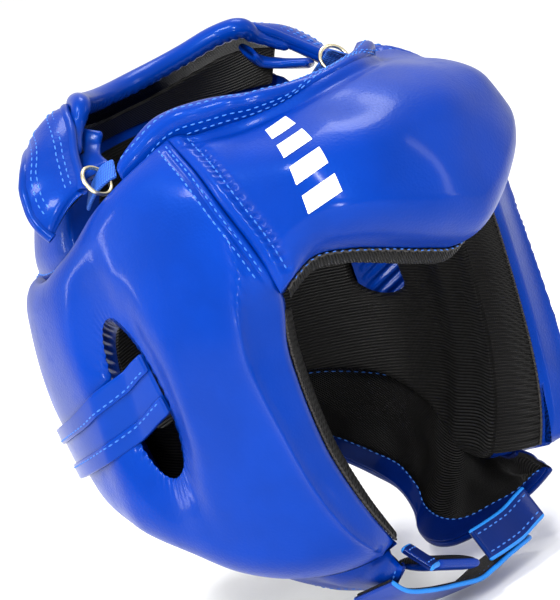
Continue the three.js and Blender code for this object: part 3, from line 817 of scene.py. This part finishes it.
SIDE_REAR = outline([[140, -40], [140, 51]])
SIDE_RADII = {"front": cheek_swell, "rear": 13 * MM, "bottom": 17 * MM, "top": 14 * MM}
SIDE_SKIRT = (0.86, 0.6, 0.3, 0.03)
EAR_RINGS, EAR_SPOTS = 130, 420
HANDS = (("right", -1), ("left", 1))


def side_panel(side):
    return Panel(outline([*CHEEK, *TEMPLE]), SIDE_REAR, outline(SIDE_BOTTOM), outline(SIDE_TOP),
                 side_depth, side_edge_depth, SIDE_RADII, side)


def gathered_wall(side, rim_depth):
    """Rings from the lining up to the opening's edge, fullest below and behind."""
    turn = np.linspace(0, 2 * np.pi, EAR_SPOTS, endpoint=False)
    fullness = 0.5 + 0.9 * (0.5 + 0.5 * np.cos(turn + 0.9))
    folds = 0.5 + 0.5 * np.sin(46 * turn + 3 * np.sin(3 * turn))
    rings = []
    # The ring at share 0 is the face's own edge, so it is left out.
    for share in np.linspace(0, 0.97, 34)[:0:-1]:
        gather = fullness * folds * np.sin(np.pi * min(share * 1.15, 1)) ** 0.7
        t, v = ear_line(turn, 1 - 0.985 * share, 0.3 + 1.25 * gather)
        inner = rim_depth * (1 - share) + 0.015
        rings.append(shell(side * t, v, np.where(share < 0.06, rim_depth * (1 - share * 0.6), inner)))
    return np.stack(rings)


for hand, side in HANDS:
    panel = side_panel(side)
    t, v = annulus(panel, lambda turn: ear_line(turn, 1.0), EAR_RINGS, EAR_SPOTS)
    face = panel.outer(t, v)
    wall = gathered_wall(side, depth_of(face[0], side * t[0], v[0]))
    border = depth_of(face[-1], side * t[-1], v[-1])
    skirt = np.stack([shell(side * t[-1], v[-1], border * share) for share in SIDE_SKIRT])
    piece(f"{hand}_side_leather", np.concatenate([wall, face, skirt]), BLUE, wrap=True,
          facing=1, slot="blue_leather", fill=0.85,
          stands_for=(f"{hand}_side_cover", f"{hand}_side_foam", f"{hand}_ear_rim"))
    for inset, tag in ((2.4 * MM, "first"), (5.6 * MM, "second")):
        panel.seam(f"{hand}_temple_{tag}_stitches", "front", inset, 0.635, 0.985)
    # Stitches just inside the opening, where its gathers are caught.
    tt, vv = ear_line(np.linspace(-2.2, 1.2, 200), 0.62, 0.1)
    path = shell(side * tt, vv, 0.62 * 0.86)
    stitches(f"{hand}_ear_wall_stitches", path, unit(path.mean(0) - path), thread=0.36 * MM)


# ---- back and nape pads --------------------------------------------------------------------------
def plain_pad(name, panel, na, nb):
    t, v = panel.grid(na, nb)
    piece(f"{name}_leather", walled(panel.outer(t, v), t, v), BLUE, facing=1,
          slot="blue_leather", stands_for=(f"{name}_cover", f"{name}_foam"), fill=0.8)
    for edge in ("bottom", "top"):
        panel.seam(f"{name}_{edge}_stitches", edge, 3 * MM)


BACK_HALF = [[101, 69.5], [112, 60], [125, 55], [140, 52.5], [160, 52]]
BACK_REAR_HALF = [[360 - t, z] for t, z in BACK_HALF][::-1]
BACK_TOP = [[108, 98], [125, 104], [180, 104], [235, 104], [252, 98]]


def soft_wave(t, v):
    return 0.018 * np.sin(t * 0.12) * np.sin(v * 15)


back = Panel(outline([BACK_HALF[0], BACK_TOP[0]]), outline([BACK_REAR_HALF[-1], BACK_TOP[-1]]),
             outline([*BACK_HALF, [180, 52], *BACK_REAR_HALF]), outline(BACK_TOP),
             lambda t, v, away: 0.66 + soft_wave(t, v), lambda t, v: 0.5 + 0 * t,
             {"front": 12 * MM, "rear": 12 * MM, "bottom": 13 * MM, "top": 13 * MM})
plain_pad("back", back, 200, 70)

NAPE_FROM, NAPE_TO = 140.6, 219.4
nape = Panel(outline([[NAPE_FROM, -40], [NAPE_FROM, 51]]), outline([[NAPE_TO, -40], [NAPE_TO, 51]]),
             outline([[NAPE_FROM, -40], [180, -43], [NAPE_TO, -40]]),
             outline([[NAPE_FROM, 51], [180, 50.5], [NAPE_TO, 51]]),
             lambda t, v, away: rear_depth(np.minimum(t, 360 - t), v) + soft_wave(t, v),
             lambda t, v: 0.5 + 0 * t,
             {"front": 13 * MM, "rear": 13 * MM, "bottom": 15 * MM, "top": 13 * MM})
plain_pad("nape", nape, 150, 110)


# ---- ribbed linings --------------------------------------------------------------------------------
MM_PER_DEGREE, MM_PER_LEVEL = 1.5, 190


def lining(name, t, v, side, stands_for, wrap=False, border=None):
    """The mesh that lines a pad, a little full towards the head. Its ribs run level."""
    if border is None:
        row, column = np.indices(t.shape)
        border = np.minimum(np.minimum(row, column),
                            np.minimum(row[::-1], column[:, ::-1])) / 12
    full = 0.12 * rounded(border) - 0.04
    full = full + 0.12 * np.exp(-((t - 65) / 7) ** 2) * rounded(border / 2)
    points = shell(side * t, v, -full)
    made = piece(name, points, MESH, wrap=wrap, facing=-1, slot="black_mesh",
                 stands_for=stands_for)
    write_cut(made.data, np.stack([t * MM_PER_DEGREE, points[..., 2] / MM], -1))


def lining_mouth(turn):
    """The lining's own opening at the ear, which is shorter below than the pad's."""
    below = np.where(np.sin(turn) < 0, 0.2, 1.0)
    rise = (EAR_HALF_HEIGHT + 6.6) * np.sin(turn) * below
    t, _ = ear_line(turn, 0.0, 0.6)
    return t, level((EAR_HEIGHT + EAR_LEAN_HEIGHT + rise) * MM)


for name, panel, size in (("forehead", forehead, (120, 60)), ("back", back, (100, 36)),
                          ("nape", nape, (80, 50))):
    t, v = panel.grid(*size)
    lining(f"{name}_ribbed_lining", t, v, 1, (f"{name}_lining",))
LINING_RINGS, LINING_SPOTS = 40, 200
for hand, side in HANDS:
    t, v = annulus(side_panel(side), lining_mouth, LINING_RINGS, LINING_SPOTS)
    ring = np.arange(LINING_RINGS)
    border = np.minimum(ring, ring[::-1])[:, None] / 8 + np.zeros((1, LINING_SPOTS))
    lining(f"{hand}_ribbed_lining", t, v, side, (f"{hand}_side_lining",), wrap=True, border=border)


def seam_tape(name, line, side, across_way, start=0.01, end=0.99):
    """The tape sewn behind a seam between two pads, flush with their linings."""
    run = line(np.linspace(start, end, 120))
    s = np.linspace(-4, 4, 5)[:, None]
    t = run[:, 0] * QUARTER + across_way[0] * s / MM_PER_DEGREE
    v = run[:, 1] + across_way[1] * s / MM_PER_LEVEL
    piece(name, shell(side * t, v, 0.05), MESH, facing=-1, slot="black_mesh")


seam_tape("back_seam_tape", outline([*BACK_HALF, [180, 52], *BACK_REAR_HALF]), 1, (0, 1))
for hand, side in HANDS:
    seam_tape(f"{hand}_nape_seam_tape", outline([[140.3, -40], [140.3, 51]]), side, (1, 0))
    seam_tape(f"{hand}_temple_seam_tape", outline(TEMPLE), side, (1, 0), 0.2)


# ---- the lining turned round the face edges ------------------------------------------------------
EDGE_MM_PER_DEGREE, EDGE_MM_PER_LEVEL = 1.55, 150


def turned(name, line, side, stands_for, across_way, top=0.55, start=0.0, end=1.0, sewn=False):
    """A ribbed strip round a pad's edge. Its ribs run across the edge."""
    u = np.linspace(start, end, 260)
    s = np.linspace(0, 1, 14)
    run = line(u)
    lift = (0.4 + 3.2 * np.sin(np.pi * (0.1 + 0.88 * s)) ** 0.8)[:, None]
    puckers = 0.22 * np.sin(u * 300)[None] * s[:, None]
    t = run[:, 0][None] * QUARTER - across_way[0] * (lift + puckers) / EDGE_MM_PER_DEGREE
    v = run[:, 1][None] - across_way[1] * (lift + puckers) / EDGE_MM_PER_LEVEL
    points = shell(side * t, v, top * s[:, None])
    piece(name, points, MESH, slot="black_mesh", stands_for=stands_for)
    rim = points[-1]
    border = tube(rim, 0.6 * MM * (1 + 0.12 * np.sin(u * 900)), sides=10)
    piece(f"{name}_overlock", border, THREAD_GREY, wrap=True, caps=True, slot="hook_tape")
    if sewn:
        out = unit(rim)[6:-6]
        stitches(f"{name}_stitches", rim[6:-6] + out * 0.7 * MM, out, thread=0.3 * MM,
                 length=1.5 * MM)


cheek_line = outline([*CHEEK, [48.2, 34]])
for hand, side in HANDS:
    turned(f"{hand}_turned_face_edge", cheek_line, side, (f"{hand}_face_edge",), (1, 0))
turned("turned_brow_edge", BROW, 1, ("brow_edge",), (0, 1), 0.6, 0.02, 0.98, sewn=True)


# ---- crown -------------------------------------------------------------------------------------------
def across_rear(half):
    return [*mirrored(half), *half[:-1][::-1]]


def between(first, second, rows, columns, bulge=(0, 0, 0)):
    """A surface between two lines of points in millimetres."""
    u = np.linspace(0, 1, rows)
    a, b = Run(first)(u) * MM, Run(second)(u) * MM
    s = np.linspace(0, 1, columns)[None, :, None]
    return a[:, None] * (1 - s) + b[:, None] * s + 4 * s * (1 - s) * np.array(bulge) * MM


YOKE_INNER = [[80, 3, 89], [76, 6.5, 93.5], [69.5, 13.5, 101.5], [61, 20, 110], [53, 28, 115],
              [38, 41, 111.5], [19, 53, 107], [0, 57, 105.5]]
YOKE_OUTER = [[95, 11, 76], [96, 15, 81], [94, 20, 87], [90, 24, 95], [80, 29, 102],
              [61, 45, 102], [33, 62, 98], [0, 69, 96]]
YOKE_BOW = 2


def yoke_thickness(share):
    """Millimetres at a share of the way across."""
    return 4.4 + 3.4 * np.sin(np.pi * share) ** 0.6


yoke = between(across_rear(YOKE_INNER), across_rear(YOKE_OUTER), 260, 22, (0, 0, YOKE_BOW))
share = np.linspace(0, 1, 22)
plump = yoke_thickness(share)
ripple = 1 + 0.05 * np.sin(np.linspace(0, 46, 260))[:, None] * np.sin(np.pi * share)
yoke = yoke if facings(yoke)[130, 11, 2] > 0 else yoke[:, ::-1]
flat_piece("crown_yoke_leather", yoke, plump * ripple * MM, BLUE, under=MESH, slot="blue_leather",
           stands_for=("crown_yoke",), fill=0.7)
up = facings(yoke)
up = up * np.sign(up[130, 11, 2])
for tag, column in (("inner", 0), ("outer", -1)):
    rim = yoke[:, column] + up[:, column] * 1.4 * MM
    piece(f"yoke_{tag}_piping", tube(rim, 2.2 * MM, 14), SMOOTH_BLUE, wrap=True, caps=True,
          slot="blue_leather")
    for number, inset in enumerate((4.2, 7.0)):
        gap = np.linalg.norm(yoke[:, -1] - yoke[:, 0], axis=-1)
        part = np.clip(inset * MM / gap, 0, 0.45)
        spot = part if column == 0 else 1 - part
        row = yoke[:, 0] * (1 - spot[:, None]) + yoke[:, -1] * spot[:, None]
        bow = 4 * spot * (1 - spot) * YOKE_BOW * MM
        puff = yoke_thickness(spot) / 2 * MM
        row = row + np.array([0, 0, 1]) * bow[:, None] + up[:, 11] * (puff + 0.15 * MM)[:, None]
        stitches(f"yoke_{tag}_stitches_{number + 1}", row[6:-6], up[6:-6, 11])

BINDING_HALF = [[50, 22, 116.5], [43, 31, 116], [31, 40.5, 112.5], [17, 47.5, 110], [0, 50.5, 109]]
BINDING_END = [[67, 14, 101.5], [61, 18, 106.5], [55.5, 20.5, 111]]
BINDING_RADIUS = 4.6 * MM
BINDING_STEPS, BINDING_SIDES = 420, 28
along = np.linspace(0, 1, BINDING_STEPS)
spine = Run(across_rear([*BINDING_END, *BINDING_HALF]))(along) * MM
turn = np.linspace(0, 2 * np.pi, BINDING_SIDES, endpoint=False)
low = ease(-np.sin(turn + 0.3), -0.15, 0.6)
gather = 0.5 + 0.5 * np.sin(along[:, None] * 250 + 1.6 * turn + np.sin(spine[:, :1] * 400))
radius = BINDING_RADIUS * (1 - 0.09 * low * gather + 0.02 * np.sin(spine[:, :1] * 160))
from_end = 60 * np.minimum(along, along[::-1])
taper = np.maximum(rounded(from_end / 1.5), 0.06) * (0.5 + 0.5 * ease(from_end, 3, 10))
piece("crown_binding_leather", tube(spine, radius * taper[:, None], BINDING_SIDES), SMOOTH_BLUE,
      wrap=True, caps=True, slot="blue_leather", stands_for=("crown_binding",), fill=0.8)

lining_top = [[62, 17.5, 103], [54, 24, 105.5], [45, 31, 106], [34, 39, 103.5], [18, 47, 100.5],
              [0, 50, 99.5]]
rear_spots = [108, 116, 126, 140, 160, 180]
back_rim = shell(np.array(rear_spots), level(104 * MM), 0.1) / MM + [0, 0, 3]
hanging = between(across_rear(lining_top), across_rear(back_rim.tolist()), 180, 16)
flat_piece("yoke_ribbed_lining", hanging, 1.6 * MM, MESH, slot="black_mesh",
           stands_for=("yoke_lining",))

FLAP_GAP = 0.2
FLAP_FRONT = [[82, 94.5 + FLAP_GAP], [77, 99.5 + FLAP_GAP], [66.6, 110 + FLAP_GAP],
              [48, 113.5 + FLAP_GAP], [29, 113.5 + FLAP_GAP]]
FLAP_REAR = [[82, 103], [78, 110], [69, 117.5], [52, 119.5], [29, 117]]
flap = patch(outline([[-82, 94.5 + FLAP_GAP], [-82, 103]]), outline([FLAP_FRONT[0], FLAP_REAR[0]]),
             outline([*mirrored(FLAP_FRONT), [0, 113.5 + FLAP_GAP], *FLAP_FRONT[::-1]]),
             outline([*mirrored(FLAP_REAR), [0, 116.5], *FLAP_REAR[::-1]]))
a, b = np.meshgrid(np.linspace(0, 1, 300), np.linspace(0, 1, 26), indexing="ij")
t, v = flap(a, b)
fold = 0.012 * np.sin(a * 40 + 2 * np.sin(a * 23)) * np.sin(np.pi * b) \
    + 0.05 * np.exp(-((np.abs(t) - 62) / 6) ** 2) * np.sin(np.pi * b)
start_depth = top_depth(t) - 0.04
flap_face = shell(t, v, start_depth + (0.62 - start_depth) * ease(b, 0, 0.6)
                  + 0.04 * np.sin(np.pi * b) + fold)
flap_face = flap_face - np.array([0, 0, 1]) * (ease(t, 24, 58) * (6 + 12 * b) * MM)[..., None]
flap_thick = (3.4 + 1.4 * np.sin(np.pi * b) ** 0.7) * MM
flat_piece("crown_flap_leather", flap_face, flap_thick, BLUE, slot="blue_leather",
           stands_for=("crown_flap",), fill=0.6)
flap_up = facings(flap_face)
flap_up = flap_up * np.sign((flap_up * flap_face).sum(-1, keepdims=True))
for tag, column in (("front_1", 4), ("front_2", 8), ("rear", 18)):
    row = flap_face[:, column] + flap_up[:, column] * (flap_thick[:, column] / 2 + 0.12 * MM)[:, None]
    stitches(f"crown_flap_{tag}_stitches", row[4:-70], flap_up[4:-70, column])


# ---- laces, rings and petals -----------------------------------------------------------------------
def ribbon(route, width, outward, rows, columns=8):
    """A flat strip along a route in millimetres, whose face looks outwards."""
    path = Run(route)(np.linspace(0, 1, rows)) * MM
    ahead = unit(np.gradient(path, axis=0))
    face = unit(np.broadcast_to(np.asarray(outward, float), path.shape))
    side = unit(np.cross(ahead, face))
    s = np.linspace(-0.5, 0.5, columns)[None, :, None]
    return path[:, None] + side[:, None] * s * width


LACE = [[72.5, 9, 83.5], [73.8, 3, 88.6], [74.2, -3, 93], [73, -6.5, 95], [71, -9.5, 95.8]]
RING = np.array([75.2, -1.6, 92.5])
RING_RADIUS, WIRE_RADIUS = 6.6, 0.85 * MM
LACE_WAY = np.array([-0.15, -0.83, 0.54])
PETAL = [[50, 22, 107], [55, 22, 101], [62, 16, 96.5], [68.2, 5, 93.6]]
for hand, side in HANDS:
    turn_side = np.array([side, 1, 1])
    outward = np.array([0.6, -0.1, 0.8]) * turn_side
    lace = ribbon(np.array(LACE) * turn_side, 8.6 * MM, outward, 60)
    flat_piece(f"{hand}_lace_webbing", lace, 1.7 * MM, TAPE, slot="blue_webbing",
               stands_for=(f"{hand}_crown_lace",))
    way = unit(LACE_WAY * turn_side)
    first = unit(np.cross(way, [0, 0, 1]))
    second = np.cross(way, first)
    turn = np.linspace(0, 2 * np.pi, 64, endpoint=False)[:, None]
    loop = (RING * turn_side + RING_RADIUS * (np.cos(turn) * first + np.sin(turn) * second)) * MM
    away = unit(loop - loop.mean(0))
    rings = np.linspace(0, 2 * np.pi, 12, endpoint=False)
    wire = loop[:, None] + WIRE_RADIUS * (np.cos(rings)[:, None] * away[:, None]
                                          + np.sin(rings)[:, None] * way)
    wire = np.concatenate([wire, wire[:1]])
    piece(f"{hand}_brass_ring", wire, BRASS, wrap=True, slot="brass_wire",
          stands_for=(f"{hand}_lace_ring",))
    petal = ribbon(np.array(PETAL) * turn_side, 11 * MM, np.array([0.5, -0.5, 0.7]) * turn_side,
                   60, 10)
    puff = (3.2 + 1.4 * np.sin(np.pi * np.linspace(0, 1, 10)))[None] * MM
    flat_piece(f"{hand}_petal_leather", petal, puff * np.ones((60, 1)), SMOOTH_BLUE,
               slot="blue_leather", stands_for=(f"{hand}_crown_petal",))


# ---- bands across the ear openings -------------------------------------------------------------
BAND_FRONT, BAND_END = 81.8, 171
BAND_WIDTH = 27
FOLD_WIDTH = 7
BAND_UPPER = outline([[BAND_FRONT, 26.5], [BAND_FRONT + 3, 23], [90, 16.5], [105, 1.5],
                      [125, -11], [150, -20], [BAND_END, -24]])
BAND_LOWER = outline([[BAND_FRONT - 3, 1], [BAND_FRONT, -2.5], [90, -12], [105, -22.5],
                      [125, -33], [150, -42], [BAND_END, -46]])


def band_depth(t, v, lift):
    """The band leaves the opening's front wall and lies on the pad behind it."""
    inside = 0.66
    rise = ease(t, 87, 95.5)
    return inside + (rear_depth(t, v) - 0.4 * MM / PAD - inside) * rise + lift * MM / PAD


def band(side, start, end, lift, rows, columns, begin=0.0, finish=1.0):
    """Part of the band's width, from start to end of it, lifted by millimetres."""
    u = np.linspace(begin, finish, rows)
    p, q = BAND_UPPER(u), BAND_LOWER(u)
    s = np.linspace(start, end, columns)[None, :, None]
    spot = p[:, None] * (1 - s) + q[:, None] * s
    t = spot[..., 0] * QUARTER
    return shell(side * t, spot[..., 1], band_depth(t, spot[..., 1], lift))


EDGE_SHARE = FOLD_WIDTH / BAND_WIDTH
for hand, side in HANDS:
    middle = band(side, 0, 1, 0, 220, 16)
    outward = unit(middle[:, 8])
    # The band's edges are the darker leather, as painted shade.
    flat_piece(f"{hand}_band_leather", middle[:, ::-side], 1.7 * MM, SMOOTH_BLUE, under=MESH,
               edge=SHADED_BLUE, slot="blue_leather", stands_for=(f"{hand}_ear_band",))
    for tag, start in (("upper", 0.0), ("lower", 1 - EDGE_SHARE)):
        strip = band(side, start, start + EDGE_SHARE, 1.45, 220, 8)
        flat_piece(f"{hand}_band_{tag}_fold_leather", strip, 1.4 * MM, SMOOTH_BLUE,
                   slot="blue_leather", stands_for=(f"{hand}_ear_band_{tag}_fold",))
        column = 6 if tag == "upper" else 1
        row = strip[:, column]
        normal = facings(strip)[:, column]
        normal = normal * np.sign((normal * outward).sum(-1, keepdims=True))
        stitches(f"{hand}_band_{tag}_stitches", row[3:-3] + normal[3:-3] * 0.8 * MM, normal[3:-3])
        # The same fold seen from inside the band, in the darker leather as painted shade.
        inside = band(side, start, start + EDGE_SHARE, -1.3, 220, 8)
        flat_piece(f"{hand}_band_{tag}_inner_fold", inside, 0.9 * MM, SHADED_BLUE, slot="blue_leather")

loop = band(1, 0.36, 0.64, 1.6, 90, 12, 0.72, 0.96)
flat_piece("nape_loop_pile", loop, 1.5 * MM, PILE, slot="hook_tape", stands_for=("nape_loop_pad",))

NAPE_STRAP_FROM, NAPE_STRAP_TO = 193, 154
NAPE_STRAP_HEIGHT, NAPE_STRAP_WIDTH, NAPE_STRAP_LIFT = -34.5, 22, 4.9
t = np.linspace(NAPE_STRAP_FROM, NAPE_STRAP_TO, 120)[:, None]
s = np.linspace(0, 1, 14)[None]
z = (NAPE_STRAP_HEIGHT + 2.5 * np.abs(t - 180) / 24 + NAPE_STRAP_WIDTH * (0.5 - s)) * MM
t = t + 0 * s
near = np.minimum(t, 360 - t)
closure = shell(t, level(z), band_depth(near, level(z), NAPE_STRAP_LIFT))
flat_piece("nape_strap_leather", closure, 2.6 * MM, SMOOTH_BLUE, under=PILE, body="nape_strap",
           slot="blue_leather", stands_for=("nape_strap",))
away = unit(closure[:, 7] * [1, 1, 0])
for tag, column in (("upper", 1), ("lower", 12)):
    stitches(f"nape_strap_{tag}_stitches", closure[3:-3, column] + away[3:-3] * 1.4 * MM,
             away[3:-3], body="nape_strap")


# ---- neck flaps ------------------------------------------------------------------------------------
NECK_EDGE = [[50, -80, -84], [46, -70, -92], [37, -60, -98.5], [27, -50, -103.5],
             [22, -40, -106], [23, -29, -106], [29, -18, -103], [36, -11, -96], [42, 0, -89],
             [44, 14, -83], [43, 28, -76], [36, 42, -65]]
FLAP_ANGLES = [37.5, 42, 48, 56, 66, 76, 84, 92, 102, 114, 126, 138]
bottom = outline(SIDE_BOTTOM)(np.linspace(0, 1, 400))
for hand, side in HANDS:
    heights = np.interp(FLAP_ANGLES, bottom[:, 0] * QUARTER, bottom[:, 1])
    upper = shell(side * np.array(FLAP_ANGLES), heights, 0.3) / MM - [0, 0, 1.4]
    lower = np.array(NECK_EDGE) * [side, 1, 1]
    sheet = between(upper, lower, 240, 30, (side * 2, 0, -1))
    face = facings(sheet)
    if (face[120, 15] @ np.array([side, 0, -0.6])) < 0:
        sheet = sheet[::-1]
    a = np.linspace(0, 1, 240)[:, None]
    b = np.linspace(0, 1, 30)[None]
    crumple = 0.5 * MM * np.sin(a * 31 + 2 * np.sin(b * 7)) * np.sin(np.pi * b) ** 0.5
    sheet = sheet + facings(sheet) * crumple[..., None]
    # The flap's edges and its inward facing are the darker leather, as painted shade.
    flat_piece(f"{hand}_neck_flap_leather", sheet, 3.2 * MM, BLUE, under=MESH, edge=SHADED_BLUE,
               slot="blue_leather", stands_for=(f"{hand}_neck_flap",))
    inward = -facings(sheet)
    facing_strip = sheet[:, -6:] + inward[:, -6:] * 1.9 * MM
    flat_piece(f"{hand}_neck_facing", facing_strip, 0.9 * MM, SHADED_BLUE, slot="blue_leather")
    row = sheet[:, -6] + inward[:, -6] * 2.4 * MM
    stitches(f"{hand}_neck_facing_stitches", row[4:-4], inward[4:-4, -6])
    outside = sheet[:, -4] - inward[:, -4] * 1.7 * MM
    stitches(f"{hand}_neck_edge_stitches", outside[4:-4], -inward[4:-4, -4])
    jaw = sheet[:, 2] + inward[:, 2] * 1.8 * MM
    stitches(f"{hand}_jaw_lining_stitches", jaw[6:80], inward[6:80, 2])


# ---- chin --------------------------------------------------------------------------------------------
CHIN_STRAP = [[-56, -66, -92], [-49, -66.5, -99], [-36, -67, -104.5], [-19, -67, -109.5],
              [-7, -67, -112.5], [3, -67, -112], [13, -67, -110.8], [24, -67, -110], [35, -67, -110]]
CHIN_WAY, CHIN_WIDTH = (0, 1, -0.33), 24 * MM
PILE_WIDTH = 20.5 * MM
CHIN_PAD = [[-33, -71.5, -90.7], [-25, -71.5, -94], [-9, -71.5, -100.7]]
LEFT_TAB = [[38, -76.5, -94], [31, -76, -95.7], [22, -76, -97.5], [10, -76, -97.8], [1, -75, -98]]
RIGHT_TAB = [[-47, -85.5, -82.5], [-42, -83, -83.5], [-37, -80.5, -85]]


def strap(route, way, width, rows, columns, rounded_end=False):
    path = Run(route)(np.linspace(0, 1, rows)) * MM
    reach = np.full(rows, width / 2)
    if rounded_end:
        left = np.linalg.norm(path - path[-1], axis=-1) / (width / 2)
        reach = reach * np.maximum(rounded(left), 0.05)
    s = np.linspace(-1, 1, columns)[None, :, None]
    return path[:, None] + unit(np.array(way, float)) * s * reach[:, None, None]


tape = strap(CHIN_STRAP, CHIN_WAY, CHIN_WIDTH, 220, 22, True)
flat_piece("chin_strap_backing", tape, 2.0 * MM, SMOOTH_BLUE, edge=RAW_EDGE, body="chin_strap",
           slot="blue_leather", stands_for=("chin_strap",))
inner_tape = strap(CHIN_STRAP, CHIN_WAY, PILE_WIDTH, 220, 20, True)[:-6]
above = facings(inner_tape)
above = above * np.sign(above[100, 10, 2])
flat_piece("chin_strap_hook_pile", inner_tape + above * 1.3 * MM, 1.2 * MM, PILE, body="chin_strap",
           slot="hook_tape")
for tag, column in (("front", 0), ("rear", 19)):
    stitches(f"chin_strap_{tag}_stitches", (inner_tape + above * 1.6 * MM)[4:-8, column],
             above[4:-8, column], body="chin_strap", thread=0.4 * MM)

cushion = strap(CHIN_PAD, (0, 1, 0), 20 * MM, 60, 18)
plump = (3.6 + 2.6 * np.sin(np.pi * np.linspace(0, 1, 18)) ** 0.6)[None] * MM * np.ones((60, 1))
face_up = cushion if facings(cushion)[30, 9, 2] > 0 else cushion[:, ::-1]
flat_piece("chin_pad_leather", face_up, plump, MESH, under=BLUE, edge=BLUE, body="chin_strap",
           slot="blue_leather", stands_for=("chin_pad",), fill=0.7)
for name, route, way, width in (("left_chin_tab", LEFT_TAB, (0, 0.5, 0.85), 13),
                                ("right_chin_tab", RIGHT_TAB, (0, 0.8, 0.5), 14)):
    tab = strap(route, way, width * MM, 80, 14)
    # The tabs are the blue leather darkened as painted shade.
    flat_piece(f"{name}_leather", tab, 2.6 * MM, SHADED_BLUE, edge=RAW_EDGE, slot="blue_leather",
               stands_for=(name,))
    front = facings(tab)
    front = front * -np.sign(front[40, 7, 1])
    for tag, column in (("upper", 2), ("lower", 11)):
        stitches(f"{name}_{tag}_stitches", (tab + front * 1.4 * MM)[3:-3, column],
                 front[3:-3, column])


# ---- plain slanted bars printed on the forehead ---------------------------------------------------
BARS = [(-37.5, 103), (-37.5, 92.5), (-37.3, 82), (-37.0, 71.5)]
BAR_ANGLE, BAR_HEIGHT, BAR_SLANT = 7.5, 6.5, 3.0
for number, (start, height) in enumerate(BARS):
    a, b = np.meshgrid(np.linspace(0, 1, 20), np.linspace(0, 1, 10), indexing="ij")
    t = start + BAR_ANGLE * a
    z = (height - BAR_HEIGHT * b + BAR_SLANT * a) * MM
    bar = forehead.outer(t, level(z), 0.22 * MM)
    piece(f"printed_bar_{number + 1}", bar, INK, facing=1, slot="blue_leather")


# ---- stage -------------------------------------------------------------------------------------------
floor_mesh = bpy.data.meshes.new("studio_floor")
reach = 30
floor_mesh.from_pydata([(-reach, -reach, 0), (reach, -reach, 0), (reach, reach, 0),
                        (-reach, reach, 0)], [], [(0, 1, 2, 3)])
floor_mesh.materials.append(pale_paper("pale_floor"))
floor = bpy.data.objects.new("studio_floor", floor_mesh)
floor.location = (0, 0, cad_low[2] - 1 * MM)
bpy.context.scene.collection.objects.link(floor)

AZIMUTH, ELEVATION, ROLL = np.radians([-44.7, 13.86, -16.4])
DISTANCE = 1.6
SIDEWAYS, UPWARDS = 0.0005, 0.0119
right = np.array([np.cos(AZIMUTH), np.sin(AZIMUTH), 0])
backward = np.array([np.sin(AZIMUTH) * np.cos(ELEVATION), -np.cos(AZIMUTH) * np.cos(ELEVATION),
                     np.sin(ELEVATION)])
upright = np.cross(backward, right)
across = np.cos(ROLL) * right + np.sin(ROLL) * upright
upward = -np.sin(ROLL) * right + np.cos(ROLL) * upright
seat = backward * DISTANCE + across * SIDEWAYS + upward * UPWARDS


def placed(columns, location):
    pose = Matrix.Identity(4)
    for k, column in enumerate(columns):
        for row in range(3):
            pose[row][k] = column[row]
    pose.translation = Vector(location)
    return pose


camera_data = bpy.data.cameras.new("camera")
camera_data.lens, camera_data.sensor_width = 231.84, 36
camera_data.clip_end = 60
camera = bpy.data.objects.new("camera", camera_data)
camera.matrix_world = placed((across, upward, backward), seat)
bpy.context.scene.collection.objects.link(camera)
bpy.context.scene.camera = camera


def softbox(name, view_way, distance, width, height, watts):
    """An area light whose place is given as right, up and towards the camera."""
    way = unit(np.array(view_way, float))
    spot = (way[0] * right + way[1] * upright + way[2] * backward) * distance
    data = bpy.data.lights.new(name, "AREA")
    data.shape, data.size, data.size_y, data.energy = "RECTANGLE", width, height, watts
    lamp = bpy.data.objects.new(name, data)
    facing_way = unit(spot)
    level_way = unit(np.cross([0, 0, 1], facing_way))
    lamp.matrix_world = placed((level_way, np.cross(facing_way, level_way), facing_way), spot)
    bpy.context.scene.collection.objects.link(lamp)


softbox("key_softbox", (-0.5, 0.9, 0.9), 1.3, 0.35, 0.25, 15)
softbox("top_softbox", (0.3, 1.3, -0.1), 1.2, 0.5, 0.3, 8)
softbox("right_strip", (1.2, 0.2, 0.5), 1.2, 0.1, 0.6, 2)
softbox("camera_strip", (-0.12, 0.35, 1.0), 1.5, 0.06, 0.5, 14)
softbox("low_strip", (-0.18, -0.2, 1.0), 1.3, 0.06, 0.14, 4)
softbox("left_strip", (-1.3, 0.3, 0.25), 1.2, 0.1, 0.6, 5)

world = bpy.data.worlds.new("pale_studio")
world.use_nodes = True
world.node_tree.nodes["Background"].inputs["Color"].default_value = (1, 1, 1, 1)
world.node_tree.nodes["Background"].inputs["Strength"].default_value = 1.0
bpy.context.scene.world = world
bpy.context.scene.view_settings.view_transform = "Standard"
